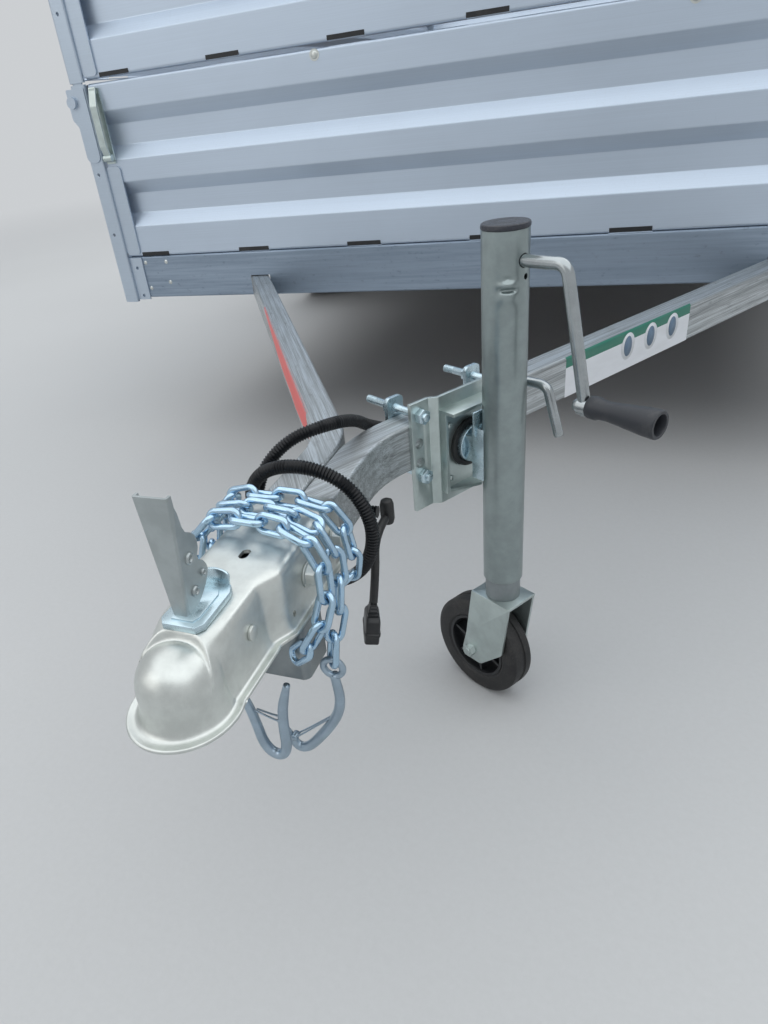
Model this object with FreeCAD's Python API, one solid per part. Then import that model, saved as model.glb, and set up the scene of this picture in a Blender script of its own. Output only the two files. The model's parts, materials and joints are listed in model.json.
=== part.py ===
import FreeCAD, Part
import math
import os

V = FreeCAD.Vector
os.makedirs("parts", exist_ok=True)

# A galvanised single-axle box trailer, parked on its road wheels and its swing-up jack.
# Millimetres. X is lateral (right positive), Y runs back from the coupling, Z is up, ground at z = 0.
# While a piece is made its Y counts from the centre of the tow ball, and save() moves it to the frame.

# Box: clear inside, two equal rows of ribbed boards over a folded frame
BOX_W = 1830.0
BOX_L = 3050.0
BALL_TO_BOX = 1252.0
FRAME_BOTTOM = 392.0
FRAME_H = 100.0
FRAME_FLANGE = 40.0
FRAME_T = 3.0
BEAM_CLEAR = 0.5
FLOOR_T = 12.0
FLOOR_GAP = 1.0
GATE_GAP = 6.0

# Board: pressed sheet with two grooves, from its lower edge upwards
BOARD_T = 1.5
BOARD_DEPTH = 24.0
GROOVE_DEPTH = 22.0
FLAT_LOW = 70.0
SLOPE = 28.0
GROOVE = 44.0
FLAT_MID = 47.0
FLAT_TOP = 55.0
TOP_LIP = 14.0
BOARD_BEND = 5.0
BOARD_SEAT = 0.5
BOARD_GAP = 8.0
SLOT_PITCH = 275.0
SLOT_L = 80.0
SLOT_H = 6.0
SLOT_IN = 10.0

# Corner post: folded angle with short returns, proud of the boards
POST_PROUD = 10.0
POST_FACE = 43.0
POST_RETURN = 9.0
POST_CHAMFER = 9.0
POST_T = 2.5
POST_DROP = 8.0
POST_JOIN = 4.0
SPIGOT_H = 60.0
SPIGOT_T = 3.0
SPIGOT_W = 22.0
BOARD_END = 47.0
GATE_END = 50.0
STRIP_W = 38.0
STRIP_T = 4.0
STRIP_END_R = 9.0
STRIP_LOW = 5.0
FOOT_PLATE_W = 36.0
FOOT_PLATE_T = 3.0
HOLE_R = 4.0

# Latch on each corner: a bowed lever over the end strip and a keeper plate on the post
LATCH_W = 24.0
LATCH_L = 156.0
LATCH_T = 3.0
LATCH_BOW = 9.0
LATCH_PIVOT_R = 6.0
KEEPER_H = 150.0
KEEPER_T = 3.0
KEEPER_OVER = 8.0
KNOB_R = 12.0
KNOB_L = 7.0

# Drawbar: two rectangular tubes, side by side in the coupler, bent apart behind it
TUBE_W = 40.0
TUBE_H = 60.0
TUBE_T = 3.0
TUBE_R = 4.0
TUBE_TOP = 436.0
TUBE_GAP = 1.0
TUBE_START = 146.0
SPREAD = 31.3
CROSSING = 367.0
BEND_R = 170.0
NOTCH_GAP = 2.0
TUBE_END_X = BOX_W / 2 - 35

# Coupler: pressed shell for a 50.8 mm ball, its skirt flanged all round
BALL_R = 25.4
SOCKET_GAP = 1.0
SHELL_T = 4.0
NOSE_T = 8.6
NECK = 29.5
NECK_END = 92.0
BALL_Z = 392.0
SKIRT_Z = 374.0
RIM_W = 12.0
RIM_T = 4.0
COUPLER_END = 247.0
SHOULDER_Y = 114.0
CHANNEL_TOP_GAP = 0.5
OVAL_Y = 134.0
OVAL_L = 15.0
OVAL_W = 9.0
COUPLER_BOLT_Y = (162.0, 230.0)
BOLT_R = 6.0
BOLT_GAP = 0.1
HEX_AF = 19.0
HEX_H = 9.0
WASHER_R = 13.0
WASHER_T = 2.0
CAP_Y = 54.0
CAP_L = 66.0
CAP_W = 40.0
CAP_H = 8.0
LEVER_TOP_Z = 555.0
LEVER_W_TOP = 31.0
LEVER_W_FOOT = 13.0
RIVET = (68.0, 408.0)
RIVET_R = 4.0
RIVET_HEAD_R = 7.0
LEVER_T = 2.5

# Chains: welded links wound round the coupler's tail, then two hooks
LINK_WIRE = 6.0
LINK_IN_L = 28.0
LINK_IN_W = 9.0
LINK_SLACK = 0.7
REAR_TWIST = -0.75
FRONT_TWIST = 0.0
CHAIN_PLATE_W = 90.0
CHAIN_PLATE_Y = 130.0
CHAIN_PLATE_L = 46.0
CHAIN_PLATE_T = 4.0
CHAIN_PLATE_BOTTOM = 299.0
HOOK_BAR = 10.0
HOOK_EYE_R = 10.0
HOOK_EYE_BAR = 7.0
HOOK_GAP = 0.3
REAR_HOOK = [(0, HOOK_EYE_R - 2), (2, 50), (-14, 84), (-50, 128), (-66, 100)]
FRONT_HOOK = [(0, HOOK_EYE_R - 2), (8, 37), (15, 80), (39, 80), (41, 28), (54, -14)]
REAR_CHAIN = [
    (-57, 158, 338), (-64, 184, 332), (-73, 212, 348), (-74, 224, 380), (-71, 222, 424), (-56, 216, 455),
    (0, 214, 456), (56, 208, 455), (72, 208, 424), (73, 210, 380), (52, 206, 352), (0, 200, 350),
    (-50, 196, 348), (-77, 192, 372), (-74, 190, 424), (-56, 190, 456), (0, 188, 457), (56, 176, 456),
    (73, 171, 424), (76, 160, 386), (75, 147, 364), (72, 137, 346), (71, 134, 312)]
FRONT_CHAIN = [
    (38, 123, 336), (58, 114, 354), (74, 126, 384), (75, 141, 412), (68, 147, 442), (46, 153, 458),
    (0, 164, 458), (-54, 166, 457), (-72, 162, 430), (-74, 148, 384), (-64, 120, 352), (-44, 110, 346), (-27, 108, 332), (-21, 108, 286)]

# Swing-up jack: clamped on the right tube, its axis a fixed way out from the tube's centre line
JACK_ALONG = 177.4
JACK_OUT = 95.0
JACK_R = 25.4
JACK_WALL = 2.5
JACK_BOTTOM = 213.0
JACK_TOP = 640.0
JACK_CAP_H = 9.0
RUN_GAP = 0.07
SEAT_GAP = 0.3
LEG_BOTTOM = 183.0
LEG_TOP = 520.0
LEG_WALL = 2.5
LEG_PLUG = 30.0
SWIVEL_R = 8.0
FORK_T = 4.0
FORK_TOP_W = 66.0
FORK_TOP_L = 62.0
JOCKEY_R = 76.0
JOCKEY_W = 40.0
JOCKEY_HUB_R = 50.0
JOCKEY_GAP = 2.5
TRAIL = 36.0
AXLE_BOLT_R = 6.0
PIVOT_Z = 392.0
PLATE_T = 5.0
PLATE_W = 168.0
PLATE_BOTTOM = 320.0
PLATE_TOP = 464.0
RIB_W = 108.0
RIB_OUT = 13.0
TRAY_W = 92.0
TRAY_TOP = 448.0
TRAY_BOTTOM = 336.0
TRAY_T = 4.0
TRAY_OUT = 38.0
DISC_R = 24.0
DISC_GAP = 0.1
CLAMP_Y = 69.0
CLAMP_BOLT_R = 5.0
CLAMP_W = 26.0
CLAMP_T = 6.0
CLAMP_ROOM = 5.0
PIN_Y = 36.0
PIN_UP = 58.0
PIN_R = 5.0
CRANK_Z = 618.0
CRANK_R = 6.0
CRANK_OUT = 42.0
CRANK_SPLAY = 28.0
GRIP_Z = 480.0
GRIP_R = 11.0
GRIP_END_R = 16.0
GRIP_L = 92.0

# Axle: one rubber-sprung axle with trailing arms, and road wheels outside the box
AXLE_SHARE = 0.54
AXLE_TUBE = 70.0
AXLE_TUBE_T = 5.0
AXLE_PAD_T = 8.0
ARM_BACK = 145.0
ARM_T = 24.0
SPINDLE_R = 20.0
TYRE_R = 297.0
TYRE_W = 165.0
RIM_R = 168.0
RIM_T = 4.0
TYRE_GAP = 60.0
BEAD_IN = 20.0
LIP_H = 9.0
TREAD_T = 14.0
SIDE_T = 9.0
HUB_R = 62.0
HUB_CAP_R = 28.0
GUARD_ROOM = 62.0
GUARD_OVER = 22.0
GUARD_T = 2.0
GUARD_BEND = 60.0

# Tailgate hinges, lamps and plate holder at the rear
HINGE_OUT = 18.0
HINGE_DROP = 6.0
KNUCKLE_R = 9.0
HINGE_PIN_R = 5.0
HINGE_X = (-640.0, 0.0, 640.0)
KNUCKLE_L = 30.0
STRAP_T = 3.0
STRAP_L = 70.0
PENDULUM_DOWN = 14.0
PENDULUM_R = 7.0
LAMP_W = 230.0
LAMP_H = 90.0
LAMP_D = 50.0
PLATE_HOLES = 178.0
HOLDER_W = 300.0
HOLDER_H = 150.0

# Loom: ribbed conduit wound round the two tubes, then a cable and its plug
CONDUIT_R = 7.5
CABLE_R = 5.0
CONDUIT_ROUTE = [
    (552, 1492, 460), (552, 1434, 460), (546, 1376, 412), (526, 1308, 378), (482, 1216, 378), (426.4, 1122.9, 386),
    (327.7, 960.5, 398), (223.8, 789.6, 402), (124.6, 639.3, 408), (77, 562, 406), (31.1, 485.5, 410), (9, 448, 430),
    (10, 404, 457), (0, 354, 473), (-44, 324, 463), (-75, 300, 424), (-72, 284, 370), (-38, 270, 328),
    (20, 260, 320), (66, 258, 348), (79, 262, 402), (53, 262, 452), (0, 261, 469), (-50, 262, 455),
    (-72, 270, 410), (-58, 304, 370), (-30, 345, 357), (6, 362, 358), (44, 362, 358)]
CABLE_ROUTE = [(57, 350, 357), (57, 312, 357), (62, 290, 321), (58, 284, 284)]
LOOM_BLOCK = (44.0, 350.0, 68.0, 374.0)
LOOM_BLOCK_H = 32.0
PLUG_L = 46.0
PLUG_W = 30.0

# Sizes that follow
FRAME_TOP = FRAME_BOTTOM + FRAME_H
WALL = POST_PROUD + BOARD_DEPTH
HALF_W = BOX_W / 2 + WALL
BOX_END = BALL_TO_BOX + BOX_L + 2 * WALL
BOARD_H = FLAT_LOW + FLAT_MID + FLAT_TOP + 2 * (2 * SLOPE + GROOVE)
LOWER_Z = FRAME_TOP + BOARD_SEAT
UPPER_Z = LOWER_Z + BOARD_H + BOARD_GAP
TUBE_BOTTOM = TUBE_TOP - TUBE_H
TUBE_X = (TUBE_W + TUBE_GAP) / 2
SIN, COS = math.sin(math.radians(SPREAD)), math.cos(math.radians(SPREAD))
AXLE_Y = BALL_TO_BOX + AXLE_SHARE * (BOX_END - BALL_TO_BOX)
AXLE_TUBE_Z = FRAME_BOTTOM - AXLE_PAD_T - AXLE_TUBE / 2
AXLE_TUBE_Y = AXLE_Y - ARM_BACK
TRACK_X = HALF_W + TYRE_GAP + TYRE_W / 2
SOCKET_R = BALL_R + SOCKET_GAP
LATCH_OUT = STRIP_T + LATCH_T + LATCH_BOW + 2 * LATCH_PIVOT_R
RIM_OUT = SHELL_T + RIM_W
NOSE = SOCKET_R + RIM_OUT
TAIL = HINGE_OUT - POST_PROUD + KNUCKLE_R
OVERALL = NOSE + BOX_END + TAIL
BALL_Y = NOSE - OVERALL / 2


def box(x0, y0, z0, x1, y1, z1):
    """Block between two corners."""
    return Part.makeBox(x1 - x0, y1 - y0, z1 - z0, V(x0, y0, z0))


def rod(start, end, r):
    """Cylinder between two points."""
    a, b = V(*start), V(*end)
    return Part.makeCylinder(r, (b - a).Length, a, b - a)


def mirrored(shape):
    """The same shape on the other side of the centre line."""
    return shape.mirror(V(0, 0, 0), V(1, 0, 0))


def joined(shapes):
    """One solid from pieces that meet."""
    return shapes[0].multiFuse(shapes[1:]).removeSplitter()


def group(shapes):
    """Separate solids of one node."""
    return Part.makeCompound([s for shape in shapes for s in shape.Solids])


def save(name, shape):
    """Moves a piece into the frame and writes it."""
    shape.translate(V(0, BALL_Y, 0))
    shape.exportStep("parts/" + name + ".step")


def corner(before, here, after, r):
    """Start, middle and end of the arc that rounds one corner of an outline."""
    ax, ay = before[0] - here[0], before[1] - here[1]
    bx, by = after[0] - here[0], after[1] - here[1]
    la, lb = math.hypot(ax, ay), math.hypot(bx, by)
    ax, ay, bx, by = ax / la, ay / la, bx / lb, by / lb
    half = math.acos(max(-1.0, min(1.0, ax * bx + ay * by))) / 2
    run = r / math.tan(half)
    mx, my = ax + bx, ay + by
    lm = math.hypot(mx, my)
    reach = r / math.sin(half) - r
    return ((here[0] + ax * run, here[1] + ay * run),
            (here[0] + mx / lm * reach, here[1] + my / lm * reach),
            (here[0] + bx * run, here[1] + by * run))


def outline(points, place):
    """Closed face from (u, v) or (u, v, corner radius) points, put in space by place(u, v)."""
    edges, n = [], len(points)
    arcs = []
    for i, p in enumerate(points):
        r = p[2] if len(p) > 2 else 0
        arcs.append(corner(points[i - 1], p, points[(i + 1) % n], r) if r > 0 else (p[:2], None, p[:2]))
    for i, (start, middle, end) in enumerate(arcs):
        if middle:
            edges.append(Part.Arc(place(*start), place(*middle), place(*end)).toShape())
        nxt = arcs[(i + 1) % n][0]
        if math.hypot(nxt[0] - end[0], nxt[1] - end[1]) > 1e-6:
            edges.append(Part.makeLine(place(*end), place(*nxt)))
    return Part.Face(Part.Wire(edges))


def sheet(points, t, r, place, along):
    """Folded sheet: thickness t about a middle line bent at radius r, run out by the vector along."""
    unit = [(b[0] - a[0], b[1] - a[1]) for a, b in zip(points, points[1:])]
    unit = [(x / math.hypot(x, y), y / math.hypot(x, y)) for x, y in unit]
    sides = []
    for sign in (1, -1):
        line = []
        for i, p in enumerate(points):
            d0, d1 = unit[max(i - 1, 0)], unit[min(i, len(unit) - 1)]
            n0, n1 = (-d0[1], d0[0]), (-d1[1], d1[0])
            k = sign * t / 2 / (1 + n0[0] * n1[0] + n0[1] * n1[1])
            turn = d0[0] * d1[1] - d0[1] * d1[0]
            bend = r - sign * t / 2 if turn > 1e-9 else r + sign * t / 2 if turn < -1e-9 else 0
            line.append((p[0] + k * (n0[0] + n1[0]), p[1] + k * (n0[1] + n1[1]), max(bend, 0)))
        sides.append(line)
    return outline(sides[0] + sides[1][::-1], place).extrude(along)


def hexagon(centre, axis, across, h):
    """Hexagonal nut or bolt head on a point, standing along the axis."""
    r = across / math.sqrt(3)
    corners = [V(r * math.cos(math.radians(60 * i)), r * math.sin(math.radians(60 * i)), 0) for i in range(7)]
    solid = Part.Face(Part.makePolygon(corners)).extrude(V(0, 0, h))
    solid.Placement = FreeCAD.Placement(V(*centre), FreeCAD.Rotation(V(0, 0, 1), V(*axis)))
    return solid


def pipe(points, r, bend):
    """Round bar along straight runs, its corners rounded at radius bend."""
    pts = [V(*p) for p in points]
    edges, here = [], pts[0]
    for before, at, after in zip(pts, pts[1:], pts[2:]):
        a, b = (before - at).normalize(), (after - at).normalize()
        half = a.getAngle(b) / 2
        run = bend / math.tan(half)
        start, end = at + a * run, at + b * run
        middle = at + (a + b).normalize() * (bend / math.sin(half) - bend)
        edges += [Part.makeLine(here, start), Part.Arc(start, middle, end).toShape()]
        here = end
    edges.append(Part.makeLine(here, pts[-1]))
    path = Part.Wire(edges)
    ring = Part.Wire(Part.makeCircle(r, pts[0], pts[1] - pts[0]))
    return path.makePipeShell([ring], True, False)


def cord(points, r):
    """Cord's tube: each corner arc as large as its two runs allow."""
    pts = [V(*p) for p in points]
    edges, here, least = [], pts[0], 1e9
    for before, at, after in zip(pts, pts[1:], pts[2:]):
        a, b = before - at, after - at
        shorter = min(a.Length, b.Length)
        a.normalize()
        b.normalize()
        half = a.getAngle(b) / 2
        run = 0.45 * shorter
        bend = run * math.tan(half)
        least = min(least, bend)
        start, end = at + a * run, at + b * run
        middle = at + (a + b).normalize() * (bend / math.sin(half) - bend)
        edges += [Part.makeLine(here, start), Part.Arc(start, middle, end).toShape()]
        here = end
    edges.append(Part.makeLine(here, pts[-1]))
    path = Part.Wire(edges)
    ring = Part.Wire(Part.makeCircle(r, pts[0], pts[1] - pts[0]))
    tube = path.makePipeShell([ring], True, False)
    share = tube.Volume / (math.pi * r * r * path.Length)
    print("cord of radius", r, "length", round(path.Length), "tightest bend", round(least), "fill", round(share, 4))
    return tube


# Frame and floor

def tube_line(x_end):
    """Plan line of the right drawbar tube's middle, from inside the coupler to a given X."""
    knee = CROSSING + TUBE_X * COS / SIN
    return [(TUBE_X, TUBE_START), (TUBE_X, knee), (x_end, knee + (x_end - TUBE_X) * COS / SIN)]


def drawbar_block(width, bottom, top, before, x_end):
    """Solid bar along the right tube's line."""
    line = tube_line(x_end)
    line[0] = (line[0][0], line[0][1] - before)
    return sheet(line, width, BEND_R, lambda x, y: V(x, y, bottom), V(0, 0, top - bottom))


def drawbar():
    """Right drawbar tube: bent hollow section with rounded edges, drilled for the coupler's bolts."""
    far = TUBE_END_X + TUBE_W
    bar = drawbar_block(TUBE_W, TUBE_BOTTOM, TUBE_TOP, 0, far)
    long_edges = [e for e in bar.Edges if abs(e.Vertexes[0].Z - e.Vertexes[-1].Z) < 1e-6
                  and abs(e.CenterOfMass.y - TUBE_START) > 1 and e.Length > 2 * TUBE_W]
    bar = bar.makeFillet(TUBE_R, long_edges)
    bore = drawbar_block(TUBE_W - 2 * TUBE_T, TUBE_BOTTOM + TUBE_T, TUBE_TOP - TUBE_T, 10, far + TUBE_W)
    bar = bar.cut(bore)
    end = box(TUBE_END_X, 0, 0, TUBE_END_X + 400, BOX_END, FRAME_TOP)
    bolts = [rod((-100, y, coupler_bolt_z()), (100, y, coupler_bolt_z()), BOLT_R + BOLT_GAP)
             for y in COUPLER_BOLT_Y]
    return bar.cut(Part.makeCompound([end] + bolts))


def coupler_bolt_z():
    """Height of the coupler's cross bolts."""
    return TUBE_BOTTOM + TUBE_H / 2


def channel(depth, bottom, height, t):
    """Middle line of a C section, open inwards: u inwards from the outer face, v up."""
    return [(depth - 0.001, bottom + height - t / 2), (t / 2, bottom + height - t / 2),
            (t / 2, bottom + t / 2), (depth - 0.001, bottom + t / 2)]


def cross_beam(rear):
    """Front or rear beam of the frame, its face flush with the boards."""
    half = HALF_W - POST_RETURN - BEAM_CLEAR
    face = BOX_END - POST_PROUD if rear else BALL_TO_BOX + POST_PROUD
    inwards = -1 if rear else 1
    line = channel(FRAME_FLANGE, FRAME_BOTTOM, FRAME_H, FRAME_T)
    return sheet(line, FRAME_T, FRAME_T, lambda u, v: V(-half, face + inwards * u, v), V(2 * half, 0, 0))


def front_beam():
    """Front beam, notched from below for the two drawbar tubes."""
    notch = drawbar_block(TUBE_W + 2 * NOTCH_GAP, FRAME_BOTTOM - 50, TUBE_TOP + NOTCH_GAP, 0, HALF_W)
    return cross_beam(False).cut(notch).cut(mirrored(notch))


def side_rail():
    """Right rail between the two beams."""
    start = BALL_TO_BOX + POST_PROUD + FRAME_FLANGE + 1
    end = BOX_END - POST_PROUD - FRAME_FLANGE - 1
    line = channel(FRAME_FLANGE, FRAME_BOTTOM, FRAME_H, FRAME_T)
    place = lambda u, v: V(HALF_W - POST_PROUD - u, start, v)
    return sheet(line, FRAME_T, FRAME_T, place, V(0, end - start, 0))


def member_rows():
    """Y of each cross member: two over the drawbar's ends, one either side of the axle, one near the rear."""
    knee = CROSSING + TUBE_X * COS / SIN
    drawbar_end = knee + (TUBE_END_X - TUBE_X) * COS / SIN
    return [BALL_TO_BOX + 240, drawbar_end - 60, AXLE_TUBE_Y - 60, AXLE_TUBE_Y + 300, BOX_END - 480]


def cross_members():
    """Cross members on the drawbar tubes, each with an end cleat bolted inside the rails."""
    half = HALF_W - POST_PROUD - FRAME_FLANGE - 1
    height = FRAME_TOP - TUBE_TOP
    web = HALF_W - POST_PROUD - FRAME_T
    members = []
    for y in member_rows():
        line = channel(FRAME_FLANGE, TUBE_TOP, height, FRAME_T)
        beam = sheet(line, FRAME_T, FRAME_T, lambda u, v: V(-half, y + u, v), V(2 * half, 0, 0))
        cleat = box(half - 40, y + FRAME_T, TUBE_TOP + 8, web, y + 2 * FRAME_T, FRAME_TOP - 8)
        foot = box(web - FRAME_T, y + FRAME_T, TUBE_TOP + 8, web, y + 34, FRAME_TOP - 8)
        members.append(joined([beam, cleat, foot, mirrored(cleat), mirrored(foot)]))
    return group(members)


def floor_panel():
    """Plywood floor on the frame, inside the boards, clear of the swinging tailgate."""
    x = BOX_W / 2 - FLOOR_GAP
    front = BALL_TO_BOX + WALL + FLOOR_GAP
    return box(-x, front, FRAME_TOP, x, BOX_END - WALL - GATE_GAP, FRAME_TOP + FLOOR_T)


# Boards and posts

def board_line():
    """Middle line of the pressed board, u inwards and v up from the lower edge."""
    m = BOARD_T / 2
    line = [(BOARD_DEPTH, m), (m, m)]
    v = FLAT_LOW
    for flat in (FLAT_MID, FLAT_TOP):
        line += [(m, v), (m + GROOVE_DEPTH - BOARD_T, v + SLOPE),
                 (m + GROOVE_DEPTH - BOARD_T, v + SLOPE + GROOVE), (m, v + 2 * SLOPE + GROOVE)]
        v += 2 * SLOPE + GROOVE + flat
    return line + [(m, BOARD_H - m), (BOARD_DEPTH - m, BOARD_H - m), (BOARD_DEPTH - m, BOARD_H - TOP_LIP)]


def board(length, z, slots):
    """Board along X, its outer face at y = 0 and looking to -Y, centred on x = 0."""
    half = length / 2
    body = sheet(board_line(), BOARD_T, BOARD_BEND, lambda u, v: V(-half, u, z + v), V(length, 0, 0))
    if slots:
        count = int((half - SLOT_L) / SLOT_PITCH)
        cuts = [box(k * SLOT_PITCH - SLOT_L / 2, -1, z - 1, k * SLOT_PITCH + SLOT_L / 2, SLOT_IN, z + SLOT_H)
                for k in range(-count, count + 1)]
        body = body.cut(Part.makeCompound(cuts))
    return body


def at_front(shape):
    """Puts a board made at y = 0 on the front of the box."""
    return shape.translated(V(0, BALL_TO_BOX + POST_PROUD, 0))


def at_rear(shape):
    """Puts a board made at y = 0 on the rear, facing back."""
    turned = shape.rotated(V(0, 0, 0), V(0, 0, 1), 180)
    return turned.translated(V(0, BOX_END - POST_PROUD, 0))


def at_side(shape):
    """Puts a board made at y = 0 on the right side, facing out."""
    turned = shape.rotated(V(0, 0, 0), V(0, 0, 1), 90)
    return turned.translated(V(HALF_W - POST_PROUD, (BALL_TO_BOX + BOX_END) / 2, 0))


def post(bottom, top):
    """Front right post: an angle with a chamfered corner and short returns to the boards."""
    m = POST_T / 2
    line = [(POST_FACE - m, POST_RETURN), (POST_FACE - m, m), (POST_CHAMFER, m),
            (m, POST_CHAMFER), (m, POST_FACE - m), (POST_RETURN, POST_FACE - m)]
    place = lambda a, b: V(HALF_W - a, BALL_TO_BOX + b, bottom)
    body = sheet(line, POST_T, POST_T, place, V(0, 0, top - bottom))
    rows = [bottom + (top - bottom) * share for share in (0.34, 0.62)]
    holes = [rod((HALF_W - POST_FACE / 2, BALL_TO_BOX - 5, z), (HALF_W - POST_FACE / 2, BALL_TO_BOX + 6, z), HOLE_R)
             for z in rows]
    return body.cut(Part.makeCompound(holes))


def lower_post():
    """Lower post with the flat foot plate that ties it to the beam."""
    bottom = FRAME_BOTTOM - POST_DROP
    body = post(bottom, LOWER_Z + BOARD_H)
    a0 = POST_FACE
    face = BALL_TO_BOX + POST_PROUD
    plate = box(HALF_W - a0 - FOOT_PLATE_W, face - FOOT_PLATE_T, bottom + 4, HALF_W - a0, face, FRAME_TOP - 2)
    holes = [rod((HALF_W - a0 - FOOT_PLATE_W / 2, face - 9, z), (HALF_W - a0 - FOOT_PLATE_W / 2, face + 1, z), HOLE_R)
             for z in (bottom + 14, FRAME_TOP - 26)]
    return joined([body, plate.cut(Part.makeCompound(holes))])


def upper_post():
    """Post of the upper boards, with the two flat tongues that stand inside the lower one."""
    z = LOWER_Z + BOARD_H + POST_JOIN
    a0 = POST_CHAMFER + POST_T + SPIGOT_T
    tongue = box(HALF_W - a0 - SPIGOT_W, BALL_TO_BOX + POST_T, z - SPIGOT_H / 2,
                 HALF_W - a0, BALL_TO_BOX + POST_T + SPIGOT_T, z + SPIGOT_H / 2)
    return joined([post(z, UPPER_Z + BOARD_H), tongue, to_side(tongue)])


def corners(shape):
    """The front right piece at all four corners."""
    middle = V(0, (BALL_TO_BOX + BOX_END) / 2, 0)
    rear = shape.mirror(middle, V(0, 1, 0))
    return [shape, mirrored(shape), rear, mirrored(rear)]


def end_strip(a0, z0, z1):
    """Strip with rounded ends over a board's end, on the front face at the right corner."""
    points = [(a0, z0, STRIP_END_R), (a0 + STRIP_W, z0, STRIP_END_R), (a0 + STRIP_W, z1, STRIP_END_R),
              (a0, z1, STRIP_END_R)]
    face = BALL_TO_BOX + POST_PROUD - STRIP_T
    return outline(points, lambda a, z: V(HALF_W - a, face, z)).extrude(V(0, STRIP_T, 0))


def to_side(shape):
    """Turns a piece on the front face at the right corner onto the side face at the same corner."""
    return shape.mirror(V(HALF_W, BALL_TO_BOX, 0), V(1, 1, 0))


def strip_heights(z):
    """Lower and upper end of an end strip on the board that starts at z: it stops under the latch."""
    return z + STRIP_LOW, z + BOARD_H - LATCH_L - 12


def latch(a0, z_top):
    """Over-centre latch on the front face at the right corner: bowed lever, pivot barrel and hook."""
    face = BALL_TO_BOX + POST_PROUD
    foot = z_top - LATCH_L
    a1 = a0 + (STRIP_W + LATCH_W) / 2
    m = LATCH_T / 2
    base = box(HALF_W - a1, face - STRIP_T, foot - 2, HALF_W - a1 + LATCH_W, face, z_top - 6)
    out = STRIP_T + LATCH_PIVOT_R
    line = [(out, foot + 10), (out + LATCH_BOW, foot + 34), (out + LATCH_BOW, z_top - 40), (out - 2, z_top - 4)]
    lever = sheet(line, LATCH_T, 10, lambda u, v: V(HALF_W - a1 + 3, face - u, v), V(LATCH_W - 6, 0, 0))
    barrel = rod((HALF_W - a1 + 1, face - out, foot + 10), (HALF_W - a1 + LATCH_W - 1, face - out, foot + 10),
                 LATCH_PIVOT_R + m)
    catch = box(HALF_W - a1 + 5, face - out - m, z_top - 16, HALF_W - a1 + LATCH_W - 5, face - STRIP_T, z_top - 6)
    return joined([base, lever, barrel, catch])


def keeper(z_top):
    """Keeper plate on the post beside a latch, with its round knob."""
    a0, a1 = -KEEPER_OVER, POST_FACE - 2
    points = [(a0, z_top, 3), (a1, z_top, 3), (a1, z_top - KEEPER_H, 14), (a0 + 12, z_top - KEEPER_H, 14),
              (a0 + 12, z_top - KEEPER_H / 2, 8), (a0, z_top - 60, 8)]
    plate = outline(points, lambda a, z: V(HALF_W - a, BALL_TO_BOX - KEEPER_T, z)).extrude(V(0, KEEPER_T, 0))
    knob = rod((HALF_W - a0 - KNOB_R, BALL_TO_BOX - KEEPER_T - KNOB_L, z_top - 26),
               (HALF_W - a0 - KNOB_R, BALL_TO_BOX - KEEPER_T, z_top - 26), KNOB_R)
    return joined([plate, knob])


# Tailgates

def hinge_axis():
    """Y and Z of the tailgate's hinge line."""
    return BOX_END - POST_PROUD + HINGE_OUT, FRAME_TOP - HINGE_DROP


def tailgate_hinges():
    """Fixed half of each hinge: outer knuckles, strap on the rear beam and the pin."""
    y, z = hinge_axis()
    face = BOX_END - POST_PROUD
    hinges = []
    for x in HINGE_X:
        half = KNUCKLE_L / 2
        spans = [(x - half - 1 - KNUCKLE_L, x - half - 1), (x + half + 1, x + half + 1 + KNUCKLE_L)]
        for a, b in spans:
            knuckle = rod((a, y, z), (b, y, z), KNUCKLE_R)
            strap = box(a, face, z - STRAP_L, b, face + STRAP_T, z)
            arm = box(a, face, z - KNUCKLE_R, b, y, z - 1)
            hinges.append([knuckle, strap, arm])
        pin = rod((spans[0][0], y, z), (spans[1][1], y, z), HINGE_PIN_R)
        hinges[-2:] = [hinges[-2] + hinges[-1] + [pin]]
    return group([joined(pieces) for pieces in hinges])


def tailgate_straps():
    """Moving half of each hinge: middle knuckle and the strap up the tailgate."""
    y, z = hinge_axis()
    face = BOX_END - POST_PROUD
    half = KNUCKLE_L / 2
    pin = [rod((x - half - 5, y, z), (x + half + 5, y, z), HINGE_PIN_R + RUN_GAP) for x in HINGE_X]
    straps = []
    for x, bore in zip(HINGE_X, pin):
        knuckle = rod((x - half, y, z), (x + half, y, z), KNUCKLE_R)
        strap = box(x - half, face, z + 1, x + half, face + STRAP_T, LOWER_Z + FLAT_LOW - 4)
        arm = box(x - half, face, z + 1, x + half, y, z + KNUCKLE_R)
        straps.append(joined([knuckle, strap, arm]).cut(bore))
    return group(straps)


def pendulum_axis():
    """Y and Z of the upper tailgate's top pivots."""
    return BOX_END - POST_PROUD - BOARD_DEPTH / 2, UPPER_Z + BOARD_H - PENDULUM_DOWN


def pivot_plate():
    """Rear right plate on the upper post that carries the upper tailgate's pivot pin."""
    y, z = pendulum_axis()
    x = HALF_W - POST_FACE
    plate = box(x - 3, y - 16, z - 22, x, BOX_END - POST_T, z + PENDULUM_DOWN)
    return plate.cut(rod((x - 9, y, z), (x + 9, y, z), PENDULUM_R + RUN_GAP))


def upper_gate():
    """Upper tailgate: a ribbed board hung from a pin at each top end."""
    y, z = pendulum_axis()
    sheet_body = at_rear(board(2 * (HALF_W - GATE_END), UPPER_Z, True))
    x = HALF_W - GATE_END
    cheek = box(x - 4, BOX_END - WALL, UPPER_Z, x, BOX_END - POST_PROUD, UPPER_Z + BOARD_H)
    pin = rod((x - 4, y, z), (HALF_W - POST_FACE + 6, y, z), PENDULUM_R)
    return joined([sheet_body, cheek, mirrored(cheek), pin, mirrored(pin)])


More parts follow.
